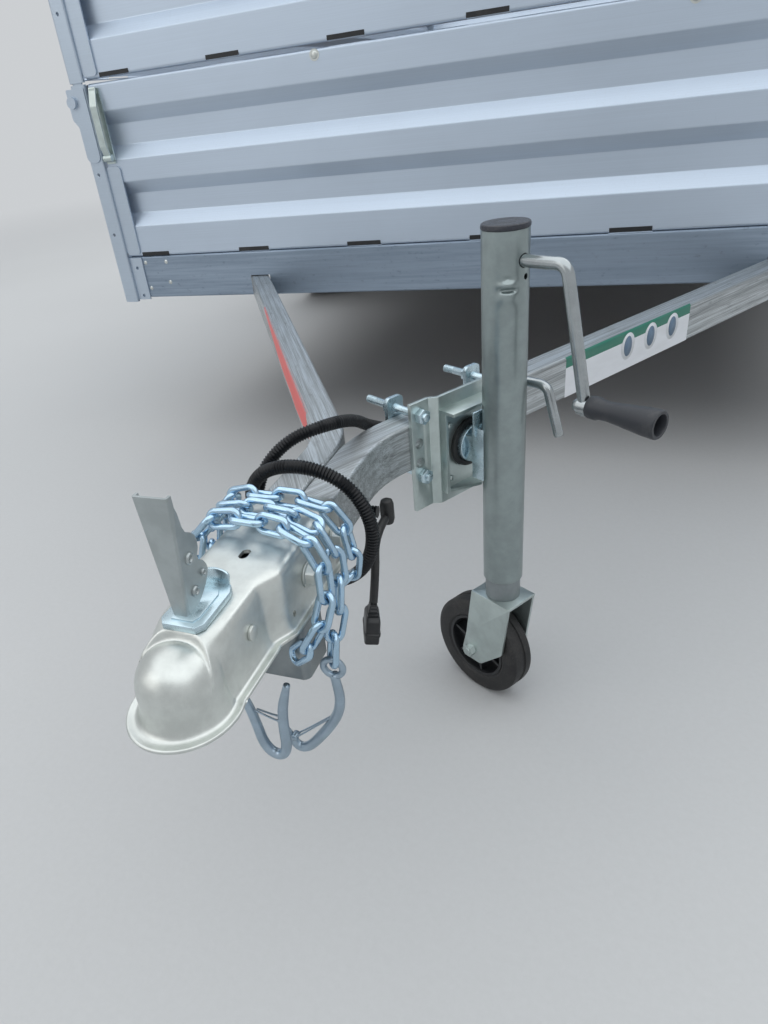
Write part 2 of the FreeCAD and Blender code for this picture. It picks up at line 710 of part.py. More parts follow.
def lower_gate():
    """Lower tailgate with its closed ends."""
    x = HALF_W - GATE_END
    body = at_rear(board(2 * x, LOWER_Z, True))
    cheek = box(x - 4, BOX_END - WALL, LOWER_Z, x, BOX_END - POST_PROUD, LOWER_Z + BOARD_H)
    return joined([body, cheek, mirrored(cheek)])


# Coupler

def coupler_form(grow, nose):
    """Solid of the coupler's shape, grown outwards: a plan outline met by a side outline."""
    channel_half = TUBE_X + TUBE_W / 2 + CHANNEL_TOP_GAP + grow
    r = SOCKET_R + nose
    neck = NECK + grow
    plan = [(-r, -r, r * 0.99), (r, -r, r * 0.99), (r, 22, 30), (neck, 58, 60), (neck, NECK_END, 26),
            (channel_half, SHOULDER_Y, 26), (channel_half, COUPLER_END + 5), (-channel_half, COUPLER_END + 5),
            (-channel_half, SHOULDER_Y, 26), (-neck, NECK_END, 26), (-neck, 58, 60), (-r, 22, 30)]
    top = TUBE_TOP + CHANNEL_TOP_GAP + grow
    dome = BALL_Z + SOCKET_R + nose
    side = [(-r, SKIRT_Z), (-r, BALL_Z + 4, 4), (-r * 0.82, dome - 4, 22), (0, dome + 2, 40), (26, dome - 2, 16),
            (52, top, 20), (COUPLER_END + 5, top), (COUPLER_END + 5, SKIRT_Z)]
    low = outline(plan, lambda x, y: V(x, y, SKIRT_Z)).extrude(V(0, 0, 100))
    wide = outline(side, lambda y, z: V(-80, y, z)).extrude(V(160, 0, 0))
    return low.common(wide)


def coupler_shell():
    """Pressed shell with a thick nose round the ball, the flanged skirt and its holes."""
    inner = coupler_form(0, 0)
    plan_rim = coupler_form(RIM_OUT, RIM_OUT).common(box(-90, -90, SKIRT_Z, 90, COUPLER_END, SKIRT_Z + RIM_T))
    body = coupler_form(SHELL_T, NOSE_T).common(box(-90, -90, SKIRT_Z, 90, COUPLER_END, FRAME_TOP))
    shell = body.fuse(plan_rim).cut(inner)
    end = OVAL_W / 2.01
    oval = [(-OVAL_W / 2, OVAL_Y - OVAL_L / 2, end), (OVAL_W / 2, OVAL_Y - OVAL_L / 2, end),
            (OVAL_W / 2, OVAL_Y + OVAL_L / 2, end), (-OVAL_W / 2, OVAL_Y + OVAL_L / 2, end)]
    cuts = [outline(oval, lambda x, y: V(x, y, TUBE_TOP)).extrude(V(0, 0, 20))]
    cuts += [rod((-100, y, coupler_bolt_z()), (100, y, coupler_bolt_z()), BOLT_R + BOLT_GAP) for y in COUPLER_BOLT_Y]
    cuts.append(rod((-100, 124, 388), (100, 124, 388), 4))
    cuts.append(rod((-100, *RIVET), (100, *RIVET), RIVET_R + BOLT_GAP))
    return shell.cut(Part.makeCompound(cuts)).removeSplitter()


def coupler_bolts():
    """Two cross bolts with washers, heads and nuts, and the latch's cross rivet."""
    side = TUBE_X + TUBE_W / 2 + CHANNEL_TOP_GAP + SHELL_T
    z = coupler_bolt_z()
    bolts = []
    for y in COUPLER_BOLT_Y:
        shank = rod((-side - WASHER_T, y, z), (side + WASHER_T + HEX_H + 3, y, z), BOLT_R)
        washers = [rod((s * side, y, z), (s * (side + WASHER_T), y, z), WASHER_R) for s in (-1, 1)]
        head = hexagon((-side - WASHER_T, y, z), (-1, 0, 0), HEX_AF, HEX_H)
        nut = hexagon((side + WASHER_T, y, z), (1, 0, 0), HEX_AF, HEX_H)
        bolts.append(joined([shank, head, nut] + washers))
    out = NECK + SHELL_T
    shank = rod((-out - 1, *RIVET), (out + 1, *RIVET), RIVET_R)
    heads = [rod((s * out, *RIVET), (s * (out + 3), *RIVET), RIVET_HEAD_R) for s in (-1, 1)]
    return group(bolts + [joined([shank] + heads)])


def coupler_cap():
    """Eight-sided raised seat of the latch on the coupler's top."""
    z = TUBE_TOP + CHANNEL_TOP_GAP + SHELL_T
    cut = 13.0
    w, h = CAP_W / 2, CAP_L / 2
    points = [(-w, -h + cut), (-w + cut, -h), (w - cut, -h), (w, -h + cut), (w, h - cut), (w - cut, h),
              (-w + cut, h), (-w, h - cut)]
    seat = outline(points, lambda x, y: V(x, CAP_Y + y, z - 20)).extrude(V(0, 0, CAP_H + 20))
    seat = seat.cut(coupler_form(SHELL_T, NOSE_T))
    slot = box(-LEVER_W_FOOT / 2 - 1, CAP_Y - h - 5, z + CAP_H - 5, LEVER_W_FOOT / 2 + 1, CAP_Y + h - 6, z + CAP_H + 5)
    return max(seat.cut(slot).Solids, key=lambda s: s.Volume)


def coupler_lever():
    """Raised latch lever: a tapered face with two lobed cheeks behind it, on a cross pin."""
    z = TUBE_TOP + CHANNEL_TOP_GAP + SHELL_T + CAP_H - 5
    y0, y1 = CAP_Y - 22, CAP_Y - 16
    up = LEVER_TOP_Z - z
    face = [(-LEVER_W_FOOT / 2, 0), (LEVER_W_FOOT / 2, 0), (LEVER_W_TOP / 2, up, 3), (-LEVER_W_TOP / 2, up, 3)]
    lean = (y1 - y0) / up
    plate = outline(face, lambda x, v: V(x, y0 + v * lean, z + v)).extrude(V(0, LEVER_T, 0))
    lobes = [(0, 0), (30, 0, 8), (36, 22, 10), (30, 44, 8), (36, 62, 10), (22, 84, 12), (8, up - 2, 4), (0, up)]
    half = LEVER_W_FOOT / 2
    cheeks = []
    for s in (-1, 1):
        x0 = half - LEVER_T if s > 0 else -half
        cheek = outline(lobes, lambda y, v: V(x0, y0 + y + v * lean + 0.5, z + v)).extrude(V(LEVER_T, 0, 0))
        cheeks.append(cheek)
    pins = [rod((-half - 3, y0 + y, z + v), (half + 3, y0 + y, z + v), 4) for y, v in ((22, 28), (20, 58))]
    return joined([plate] + cheeks + pins)


def ball_clamp():
    """Clamp tongue behind the ball, under the latch seat."""
    gap = 0.5
    block = box(-14, 30, SKIRT_Z + 2, 14, 58, BALL_Z + 12)
    stem = rod((0, CAP_Y - 2, BALL_Z + 6), (0, CAP_Y - 2, TUBE_TOP - 3), 7)
    ball = Part.makeSphere(SOCKET_R + gap, V(0, 0, BALL_Z))
    inside = coupler_form(-gap, -gap)
    return joined([block, stem]).cut(ball).common(inside)


def chain_plate():
    """Folded plate under the drawbar, open to the rear, that the safety chains are welded to."""
    x, y0, y1, t = CHAIN_PLATE_W / 2, CHAIN_PLATE_Y, CHAIN_PLATE_Y + CHAIN_PLATE_L, CHAIN_PLATE_T
    m = t / 2
    line = [(-x + m, y1), (-x + m, y0 + m), (x - m, y0 + m), (x - m, y1)]
    top = SKIRT_Z - 2
    body = sheet(line, t, 6, lambda a, b: V(a, b, CHAIN_PLATE_BOTTOM), V(0, 0, top - CHAIN_PLATE_BOTTOM))
    half = TUBE_X + TUBE_W / 2 - 1
    seat = box(-half, TUBE_START + 2, top - t, half, y1, TUBE_BOTTOM)
    sides = [box(s * half - 3, TUBE_START + 2, top - t, s * half + 3, y1, top) for s in (-1, 1)]
    lip = box(-x + 6, y0, CHAIN_PLATE_BOTTOM, x - 6, y0 + 12, CHAIN_PLATE_BOTTOM + t)
    return joined([body, seat, lip] + sides)


# Safety chains

def resampled(route, pitch):
    """Points a pitch apart along a route, its corners cut twice so that the chain lies in curves."""
    pts = [V(*p) for p in route]
    for _ in range(2):
        cuts = [pts[0]]
        for a, b in zip(pts, pts[1:]):
            cuts += [a * 0.75 + b * 0.25, a * 0.25 + b * 0.75]
        pts = cuts + [pts[-1]]
    nodes, here, k = [pts[0]], pts[0], 1
    while k < len(pts):
        step = pts[k] - nodes[-1]
        if step.Length < pitch:
            here = pts[k]
            k += 1
            continue
        run = pts[k] - here
        u = V(run.x, run.y, run.z).normalize()
        back = here - nodes[-1]
        b = back.dot(u)
        t = -b + math.sqrt(b * b - back.dot(back) + pitch * pitch)
        here = here + u * t
        nodes.append(here)
    return nodes


def chain(route, up, twist):
    """Welded links along a route, each turned a quarter and a twist from the last, and the last one's end and axes."""
    nodes = resampled(route, LINK_IN_L - LINK_SLACK)
    links = []
    for k, (a, b) in enumerate(zip(nodes, nodes[1:])):
        along = (b - a).normalize()
        up = (up - along * up.dot(along)).normalize()
        up = FreeCAD.Rotation(along, twist).multVec(up)
        side = along.cross(up)
        links.append(link(a, b, (up + side) if k % 2 else (up - side)))
    flat = (up + side if k % 2 else up - side).normalize()
    return links, (nodes[-1], along, along.cross(flat))


def link(a, b, across):
    """Welded link between two points: an eight-cornered ring of six-sided wire, flat across a direction."""
    along = b - a
    centre = (a + b) * 0.5
    ex = along.normalize()
    ez = ex.cross(across).normalize()
    ey = ez.cross(ex)
    half_l = (LINK_IN_L + LINK_WIRE) / 2
    half_w = (LINK_IN_W + LINK_WIRE) / 2
    cut = half_w * 0.5
    ring = [(half_l, -half_w + cut), (half_l, half_w - cut), (half_l - cut, half_w), (-half_l + cut, half_w),
            (-half_l, half_w - cut), (-half_l, -half_w + cut), (-half_l + cut, -half_w), (half_l - cut, -half_w)]
    n = len(ring)
    rows = []
    for i, p in enumerate(ring):
        q, s = ring[i - 1], ring[(i + 1) % n]
        d0 = V(p[0] - q[0], p[1] - q[1], 0).normalize()
        d1 = V(s[0] - p[0], s[1] - p[1], 0).normalize()
        n0, n1 = V(d0.y, -d0.x, 0), V(d1.y, -d1.x, 0)
        mitre = (n0 + n1) * (1 / (1 + n0.dot(n1)))
        row = []
        for k in range(4):
            w = LINK_WIRE / 2 * math.cos(math.radians(90 * k))
            h = LINK_WIRE / 2 * math.sin(math.radians(90 * k))
            flat = V(p[0], p[1], 0) + mitre * w
            row.append(centre + ex * flat.x + ey * flat.y + ez * h)
        rows.append(row)
    faces = []
    for i in range(n):
        for k in range(4):
            quad = [rows[i][k], rows[i][(k + 1) % 4], rows[(i + 1) % n][(k + 1) % 4], rows[(i + 1) % n][k]]
            faces.append(Part.Face(Part.makePolygon(quad + quad[:1])))
    return Part.Solid(Part.Shell(faces))


def chain_hook(end, shape):
    """Hook hung in a chain's last link: an eye ring and a bent bar, given as (sideways, down) from the eye's middle."""
    node, along, side = end
    bar = HOOK_EYE_BAR / 2
    top = node + along * (LINK_SLACK / 2 - bar - HOOK_GAP)
    down = V(0, 0, -1)
    middle = top + along * HOOK_EYE_R
    side = V(side.x, side.y, 0).normalize()
    if side.x < 0:
        side = side * -1
    ring = Part.makeTorus(HOOK_EYE_R, bar, middle, side.cross(down))
    points = [middle + side * u + down * v for u, v in shape]
    return joined([pipe([tuple(p) for p in points], HOOK_BAR / 2, 12), ring])


# Jack, built where the right tube's outward normal is X and its run is Y, then turned into place

def jack_frame():
    """Placement of the jack's own axes: X out from the tube, Y back along it, on the tube's centre line."""
    foot = V(JACK_ALONG * SIN, CROSSING + JACK_ALONG * COS, 0)
    return FreeCAD.Placement(foot, FreeCAD.Rotation(V(0, 0, 1), -SPREAD))


def by_jack(shape):
    """Turns a piece made on the jack's own axes into the trailer's."""
    return shape.transformed(jack_frame().toMatrix())


def mount_plate():
    """Clamped plate with a raised rib, and the open tray that holds the pivot."""
    x0 = TUBE_W / 2
    half = PLATE_W / 2
    rib = RIB_W / 2
    line = [(-half, x0 + PLATE_T / 2), (-rib, x0 + PLATE_T / 2), (-rib + 8, x0 + RIB_OUT - PLATE_T / 2),
            (rib - 8, x0 + RIB_OUT - PLATE_T / 2), (rib, x0 + PLATE_T / 2), (half, x0 + PLATE_T / 2)]
    plate = sheet(line, PLATE_T, 4, lambda y, x: V(x, y, PLATE_BOTTOM), V(0, 0, PLATE_TOP - PLATE_BOTTOM))
    x1 = x0 + RIB_OUT
    web = box(x1, -TRAY_W / 2, TRAY_BOTTOM, x1 + TRAY_T, TRAY_W / 2, TRAY_TOP)
    lip_top = box(x1, -TRAY_W / 2, TRAY_TOP - TRAY_T, x0 + TRAY_OUT, TRAY_W / 2, TRAY_TOP)
    cheek = box(x1, -TRAY_W / 2, TRAY_BOTTOM, x0 + TRAY_OUT - 14, -TRAY_W / 2 + TRAY_T, TRAY_TOP)
    far = box(x1, TRAY_W / 2 - TRAY_T, TRAY_BOTTOM, x0 + TRAY_OUT - 14, TRAY_W / 2, TRAY_TOP)
    lip = [(-TRAY_W / 2, x1), (TRAY_W / 2, x1), (TRAY_W / 2, x0 + TRAY_OUT - 18), (0, x0 + TRAY_OUT),
           (-TRAY_W / 2, x0 + TRAY_OUT - 18)]
    bottom = outline(lip, lambda y, x: V(x, y, TRAY_BOTTOM)).extrude(V(0, 0, TRAY_T))
    solid = joined([plate, web, lip_top, cheek, far, bottom])
    holes = [rod((x0 - 5, 0, PIVOT_Z), (x1 + 30, 0, PIVOT_Z), DISC_R + DISC_GAP)]
    for s in (-1, 1):
        for z in clamp_heights():
            holes.append(rod((x0 - 5, s * CLAMP_Y, z), (x1 + 30, s * CLAMP_Y, z), CLAMP_BOLT_R + BOLT_GAP))
        for dz in (-9, 17):
            holes.append(rod((x0 - 5, s * (half - 9), PIVOT_Z + dz), (x1, s * (half - 9), PIVOT_Z + dz), 3))
    return solid.cut(Part.makeCompound(holes))


def clamp_heights():
    """Heights of the clamp bolts above and below the tube."""
    room = CLAMP_BOLT_R + CLAMP_ROOM
    return TUBE_TOP + room, TUBE_BOTTOM - room


def jack_clamps():
    """Shaped straps behind the tube and the four long bolts through the plate."""
    x0 = TUBE_W / 2
    pieces = []
    upper, lower = clamp_heights()
    for s in (-1, 1):
        y = s * CLAMP_Y
        strap = [(y - CLAMP_W / 2, lower - 14, 6), (y + CLAMP_W / 2, lower - 14, 6), (y + CLAMP_W / 2, upper + 14, 6),
                 (y - CLAMP_W / 2, upper + 14, 6)]
        solids = [outline(strap, lambda b, z: V(-x0 - CLAMP_T, b, z)).extrude(V(CLAMP_T, 0, 0))]
        for z in (upper, lower):
            solids.append(rod((-x0 - 34, y, z), (x0 + PLATE_T + 12, y, z), CLAMP_BOLT_R))
            solids.append(hexagon((-x0 - CLAMP_T, y, z), (-1, 0, 0), 17, 8))
            solids.append(hexagon((x0 + PLATE_T, y, z), (1, 0, 0), 17, 8))
        pieces.append(joined(solids))
    return group(pieces)


def jack_swivel():
    """Pivot disc in the tray, the block that carries the jack and the lug for its pull pin."""
    x1 = TUBE_W / 2 + RIB_OUT
    disc = rod((x1 - 6, 0, PIVOT_Z), (x1 + TRAY_T + 8, 0, PIVOT_Z), DISC_R)
    inner = JACK_OUT - JACK_R
    neck = box(x1 + TRAY_T + 6, -16, PIVOT_Z - 17, inner - 4, 16, PIVOT_Z + 17)
    saddle = box(inner - 6, -22, PIVOT_Z - 34, JACK_OUT - 12, 22, PIVOT_Z + 34)
    lug = [(-10, -20, 4), (PIN_Y + 11, -20, 6), (PIN_Y + 11, PIN_UP + 12, 9), (PIN_Y - 12, PIN_UP + 12, 9), (-10, 20, 4)]
    arm = outline(lug, lambda y, z: V(inner - 6, y, PIVOT_Z + z)).extrude(V(4, 0, 0))
    pin_hole = rod((0, PIN_Y, PIVOT_Z + PIN_UP), (200, PIN_Y, PIVOT_Z + PIN_UP), PIN_R)
    body = joined([disc, neck, saddle, arm])
    room = rod((JACK_OUT, 0, 0), (JACK_OUT, 0, 900), JACK_R)
    return body.cut(room).cut(pin_hole)


def pull_pin():
    """Spring pin with its handle turned down beside the jack."""
    z = PIVOT_Z + PIN_UP
    x = JACK_OUT + JACK_R
    tip = JACK_OUT - JACK_R - 7
    return pipe([(tip, PIN_Y, z), (x + 6, PIN_Y, z), (x + 24, PIN_Y + 2, z - 34)], PIN_R, 12)


def jack_tube():
    """Outer tube, its window for the crank shaft."""
    outer = rod((JACK_OUT, 0, JACK_BOTTOM), (JACK_OUT, 0, JACK_TOP), JACK_R)
    bore = rod((JACK_OUT, 0, JACK_BOTTOM - 5), (JACK_OUT, 0, JACK_TOP + 5), JACK_R - JACK_WALL)
    window = rod((JACK_OUT, 0, CRANK_Z), (JACK_OUT + 60, 0, CRANK_Z), CRANK_R)
    dimple = rod((JACK_OUT, -60, JACK_TOP - 70), (JACK_OUT, 0, JACK_TOP - 70), 4)
    return outer.cut(bore).cut(window).cut(dimple)


def jack_cap():
    """Low domed cap in the tube's top."""
    plug = rod((JACK_OUT, 0, JACK_TOP - 12), (JACK_OUT, 0, JACK_TOP), JACK_R - JACK_WALL)
    head = rod((JACK_OUT, 0, JACK_TOP), (JACK_OUT, 0, JACK_TOP + JACK_CAP_H), JACK_R)
    rounded = head.makeFillet(JACK_CAP_H * 0.8, [e for e in head.Edges if e.CenterOfMass.z > JACK_TOP + 1
                                                and e.Length > JACK_R * 3])
    return joined([plug, rounded])


def jack_crank():
    """Crank rod: out of the tube, down beside it and out again into the grip."""
    x = JACK_OUT + JACK_R
    points = [(JACK_OUT + 8, 0, CRANK_Z), (x + CRANK_OUT, 0, CRANK_Z),
              (x + CRANK_OUT + CRANK_SPLAY, 0, GRIP_Z), (x + CRANK_OUT + CRANK_SPLAY + 34, 0, GRIP_Z)]
    return pipe(points, CRANK_R, 14)


def crank_grip():
    """Flared grip with a hollow end, over the crank's last stretch."""
    x = JACK_OUT + JACK_R + CRANK_OUT + CRANK_SPLAY + 34
    bore = CRANK_R + RUN_GAP
    profile = [(x - 16, bore), (x - 16, GRIP_R - 1), (x - 12, GRIP_R), (x + GRIP_L * 0.5, GRIP_R + 1),
               (x + GRIP_L, GRIP_END_R), (x + GRIP_L, GRIP_END_R - 4), (x + GRIP_L - 14, GRIP_END_R - 6),
               (x + GRIP_L - 14, 0.0), (x, 0.0), (x, bore)]
    face = Part.Face(Part.makePolygon([V(a, 0, GRIP_Z + b) for a, b in profile + profile[:1]]))
    return face.revolve(V(0, 0, GRIP_Z), V(1, 0, 0), 360)


def leg_r():
    """Radius of the inner tube: a running fit in the outer one."""
    return JACK_R - JACK_WALL - RUN_GAP


def jack_leg():
    """Inner tube, plugged at its foot and bored for the fork's stud."""
    outer = rod((JACK_OUT, 0, LEG_BOTTOM), (JACK_OUT, 0, LEG_TOP), leg_r())
    bore = rod((JACK_OUT, 0, LEG_BOTTOM + LEG_PLUG), (JACK_OUT, 0, LEG_TOP + 5), leg_r() - LEG_WALL)
    stud = rod((JACK_OUT, 0, LEG_BOTTOM - 5), (JACK_OUT, 0, LEG_BOTTOM + LEG_PLUG), SWIVEL_R + RUN_GAP)
    return outer.cut(bore).cut(stud)


def jack_fork():
    """Swivelling fork: top plate, stud and two tapered cheeks with the wheel's axle bolt."""
    top = LEG_BOTTOM - 0.3
    inside = JOCKEY_W / 2 + JOCKEY_GAP
    half = inside + FORK_T
    x0, x1 = JACK_OUT - FORK_TOP_W / 2, JACK_OUT + FORK_TOP_W / 2
    plate = box(x0, -half, top - FORK_T, x1, half, top)
    stud = rod((JACK_OUT, 0, top - FORK_T), (JACK_OUT, 0, LEG_BOTTOM + LEG_PLUG - 2), SWIVEL_R)
    ax, az = JACK_OUT - TRAIL, JOCKEY_R
    cheek = [(x0, top), (x1, top), (x1 - 12, az + 20, 10), (ax + 18, az - 18, 12), (ax - 20, az - 18, 14),
             (x0 - 12, az + 26, 12)]
    cheeks = [outline(cheek, lambda x, z: V(x, y, z)).extrude(V(0, FORK_T, 0)) for y in (-half, inside)]
    bolt = rod((ax, -half - 10, az), (ax, half + 4, az), AXLE_BOLT_R)
    nuts = [hexagon((ax, -half, az), (0, -1, 0), 17, 8), hexagon((ax, half, az), (0, 1, 0), 17, 6)]
    return joined([plate, stud, bolt] + cheeks + nuts)


def wheel_profile(points, centre, axis):
    """Ring turned about a wheel's axis from (across, radius) points."""
    across = V(*axis)
    c = V(*centre)
    pts = [c + across * a + V(0, 0, r) for a, r in points]
    return Part.Face(Part.makePolygon(pts + pts[:1])).revolve(c, across, 360)


def jockey_tyre():
    """Solid rubber tread of the jack's wheel."""
    w = JOCKEY_W / 2
    points = [(-w + 2, JOCKEY_HUB_R), (w - 2, JOCKEY_HUB_R), (w - 1, JOCKEY_R - 12), (w - 8, JOCKEY_R - 2),
              (w - 13, JOCKEY_R), (-w + 13, JOCKEY_R), (-w + 8, JOCKEY_R - 2), (-w + 1, JOCKEY_R - 12)]
    return wheel_profile(points, (JACK_OUT - TRAIL, 0, JOCKEY_R), (0, 1, 0))


def jockey_core():
    """Plastic wheel centre with a web and a long hub."""
    w = JOCKEY_W / 2
    r0 = AXLE_BOLT_R + RUN_GAP
    points = [(-w, r0), (w, r0), (w, 18), (5, 22), (5, JOCKEY_HUB_R - 8), (w - 3, JOCKEY_HUB_R - 5),
              (w - 3, JOCKEY_HUB_R), (-w + 3, JOCKEY_HUB_R), (-w + 3, JOCKEY_HUB_R - 5), (-5, JOCKEY_HUB_R - 8),
              (-5, 22), (-w, 18)]
    return wheel_profile(points, (JACK_OUT - TRAIL, 0, JOCKEY_R), (0, 1, 0))


# Axle, road wheels and mudguards

def axle_beam():
    """Square axle tube under the rails with its two bolted pads."""
    half = HALF_W + 6
    h = AXLE_TUBE / 2
    y, z = AXLE_TUBE_Y, AXLE_TUBE_Z
    tube = box(-half, y - h, z - h, half, y + h, z + h)
    edges = [e for e in tube.Edges if e.Length > half]
    tube = tube.makeFillet(10, edges)
    i = h - AXLE_TUBE_T
    tube = tube.cut(box(-half + 12, y - i, z - i, half - 12, y + i, z + i))
    rail = HALF_W - POST_PROUD
    pad = box(rail - FRAME_FLANGE - 20, y - 90, z + h, rail, y + 90, FRAME_BOTTOM)
    return joined([tube, pad, mirrored(pad)])


def axle_arm():
    """Right trailing arm and its spindle."""
    x0 = HALF_W + 6
    x1 = x0 + ARM_T
    y, z = AXLE_TUBE_Y, AXLE_TUBE_Z
    eye = rod((x0, y, z), (x1, y, z), 42)
    knuckle = rod((x0, AXLE_Y, TYRE_R), (x1, AXLE_Y, TYRE_R), 32)
    d = math.hypot(ARM_BACK, z - TYRE_R)
    ny, nz = (z - TYRE_R) / d, ARM_BACK / d
    web = [(y + ny * 36, z + nz * 36), (AXLE_Y + ny * 28, TYRE_R + nz * 28), (AXLE_Y - ny * 28, TYRE_R - nz * 28),
           (y - ny * 36, z - nz * 36)]
    bar = outline(web, lambda b, v: V(x0 + 3, b, v)).extrude(V(ARM_T - 6, 0, 0))
    spindle = rod((x1, AXLE_Y, TYRE_R), (TRACK_X + 10, AXLE_Y, TYRE_R), SPINDLE_R)
    return joined([eye, knuckle, bar, spindle])


def road_tyre():
    """Right road tyre: flat tread, round shoulders and full side walls."""
    w = TYRE_W / 2
    h = TYRE_R - RIM_R
    bead = w - BEAD_IN
    half = [(bead - 12, RIM_R), (bead, RIM_R), (bead, RIM_R + LIP_H + 2), (w - 3, RIM_R + h * 0.28),
            (w, RIM_R + h * 0.52), (w - 4, RIM_R + h * 0.78), (w - 16, TYRE_R - 5), (w - 30, TYRE_R)]
    hollow = [(w - 36, TYRE_R - TREAD_T), (w - SIDE_T, RIM_R + h * 0.6), (bead - 12, RIM_R)]
    points = half[1:] + [(-a, r) for a, r in half[::-1]][:-1]
    points += [(-bead + 12, RIM_R)] + [(-a, r) for a, r in hollow[1::-1]] + hollow
    return wheel_profile(points, (TRACK_X, AXLE_Y, TYRE_R), (1, 0, 0))


def road_rim():
    """Right steel wheel: rolled rim, dished disc with hand holes, and the hub on its spindle."""
    bead = TYRE_W / 2 - BEAD_IN
    w = bead + SEAT_GAP + RIM_T
    r = RIM_R - SEAT_GAP
    lip = RIM_R + LIP_H
    rim = wheel_profile([(-w, lip), (-w, r - RIM_T), (-w + 20, r - RIM_T - 3), (-20, r - 10), (-12, r - 26),
                         (22, r - 26), (32, r - 10), (w - 14, r - RIM_T - 3), (w, r - RIM_T), (w, lip),
                         (w - RIM_T, lip), (w - RIM_T, r), (w - 18, r - 1), (36, r - 4), (26, r - 20), (-16, r - 20),
                         (-24, r - 4), (-w + 18, r - 1), (-w + RIM_T, r), (-w + RIM_T, lip)],
                        (TRACK_X, AXLE_Y, TYRE_R), (1, 0, 0))
    disc = wheel_profile([(8, r - 26), (4, r - 34), (18, r - 60), (30, r - 76), (30, 66), (22, 60), (22, 30),
                          (27, 30), (27, 58), (35, 64), (35, r - 78), (22, r - 62), (9, r - 36), (14, r - 26)],
                         (TRACK_X, AXLE_Y, TYRE_R), (1, 0, 0))
    hub = wheel_profile([(-48, SPINDLE_R + RUN_GAP), (22, SPINDLE_R + RUN_GAP), (22, 70), (16, 70), (10, 46),
                         (-34, 42), (-40, HUB_R), (-48, HUB_R)], (TRACK_X, AXLE_Y, TYRE_R), (1, 0, 0))
    cap = wheel_profile([(22, 0), (50, 0), (50, HUB_CAP_R - 6), (46, HUB_CAP_R), (27, HUB_CAP_R + 2), (22, 32)],
                        (TRACK_X, AXLE_Y, TYRE_R), (1, 0, 0))
    body = joined([rim, disc, hub, cap])
    holes = []
    for k in range(10):
        a = math.radians(36 * k)
        y, z = AXLE_Y + 102 * math.sin(a), TYRE_R + 102 * math.cos(a)
        holes.append(rod((TRACK_X - 5, y, z), (TRACK_X + 60, y, z), 11))
    return body.cut(Part.makeCompound(holes))


def mudguard():
    """Right mudguard: a folded arch over the tyre with a stiffened outer edge and two stays."""
    reach = TYRE_R + GUARD_ROOM
    low = TYRE_R + 20
    line = [(-reach, low), (-reach + 6, TYRE_R + 180), (-reach + 150, TYRE_R + reach), (reach - 150, TYRE_R + reach),
            (reach - 6, TYRE_R + 180), (reach, low)]
    x0 = HALF_W - POST_PROUD
    x1 = TRACK_X + TYRE_W / 2 + GUARD_OVER
    arch = sheet(line, GUARD_T, GUARD_BEND, lambda b, z: V(x0, AXLE_Y + b, z), V(x1 - x0, 0, 0))
    edge = sheet(line, 3 * GUARD_T, GUARD_BEND, lambda b, z: V(x1 - 14, AXLE_Y + b, z), V(14, 0, 0))
    web = sheet(line, 16, GUARD_BEND, lambda b, z: V(x1 - GUARD_T, AXLE_Y + b, z), V(GUARD_T, 0, 0))
    stays = []
    for s in (-1, 1):
        b = s * (reach - GUARD_T / 2 - 1)
        y = AXLE_Y + b
        z = FRAME_BOTTOM + 12
        bar = box(x0, min(y, y - s * 22), z, x1 - 20, max(y, y - s * 22), z + 6)
        stays.append(bar)
    return joined([arch, edge, web] + stays)


# Rear lamps

def lamp_blocks(inset, grow_y):
    """Right lamp's block under the rear beam, shrunk by inset."""
    x1 = HALF_W - POST_FACE - 20
    y1 = BOX_END - POST_PROUD - 4
    z1 = FRAME_BOTTOM - 10
    return box(x1 - LAMP_W + inset, y1 - LAMP_D, z1 - LAMP_H + inset, x1 - inset, y1 + grow_y, z1 - inset)


def lamp_housing():
    """Right lamp's housing with its bracket from the rear beam."""
    body = lamp_blocks(0, -12)
    x1 = HALF_W - POST_FACE - 20
    y1 = BOX_END - POST_PROUD - 4
    bracket = box(x1 - LAMP_W + 60, y1 - LAMP_D + 8, FRAME_BOTTOM - 10, x1 - 60, y1 - LAMP_D + 34, FRAME_BOTTOM)
    return joined([body, bracket])


def lamp_lens():
    """Right lamp's lens, seated on the housing's rear."""
    x1 = HALF_W - POST_FACE - 20
    y1 = BOX_END - POST_PROUD - 4
    z1 = FRAME_BOTTOM - 10
    lens = box(x1 - LAMP_W + 4, y1 - 12, z1 - LAMP_H + 4, x1 - 4, y1, z1 - 4)
    return lens.makeFillet(6, [e for e in lens.Edges if abs(e.CenterOfMass.y - y1) < 0.01])


def plate_holder():
    """Bare number plate holder hung under the rear beam, with its two holes."""
    y = BOX_END - POST_PROUD - 30
    z1 = FRAME_BOTTOM
    plate = box(-HOLDER_W / 2, y, z1 - HOLDER_H - 10, HOLDER_W / 2, y + 3, z1 - 8)
    tabs = [box(x - 15, y, z1 - 30, x + 15, y + 3, z1) for x in (-100, 100)]
    feet = [box(x - 15, y - 20, z1 - 3, x + 15, y + 3, z1) for x in (-100, 100)]
    holes = [rod((x, y - 5, z1 - 32), (x, y + 8, z1 - 32), 3.5) for x in (-PLATE_HOLES / 2, PLATE_HOLES / 2)]
    return joined([plate] + tabs + feet).cut(Part.makeCompound(holes))


def loom_joint():
    """Block under the right tube where the conduit ends and the cable comes out."""
    x0, y0, x1, y1 = LOOM_BLOCK
    return box(x0, y0, TUBE_BOTTOM - LOOM_BLOCK_H, x1, y1, TUBE_BOTTOM)


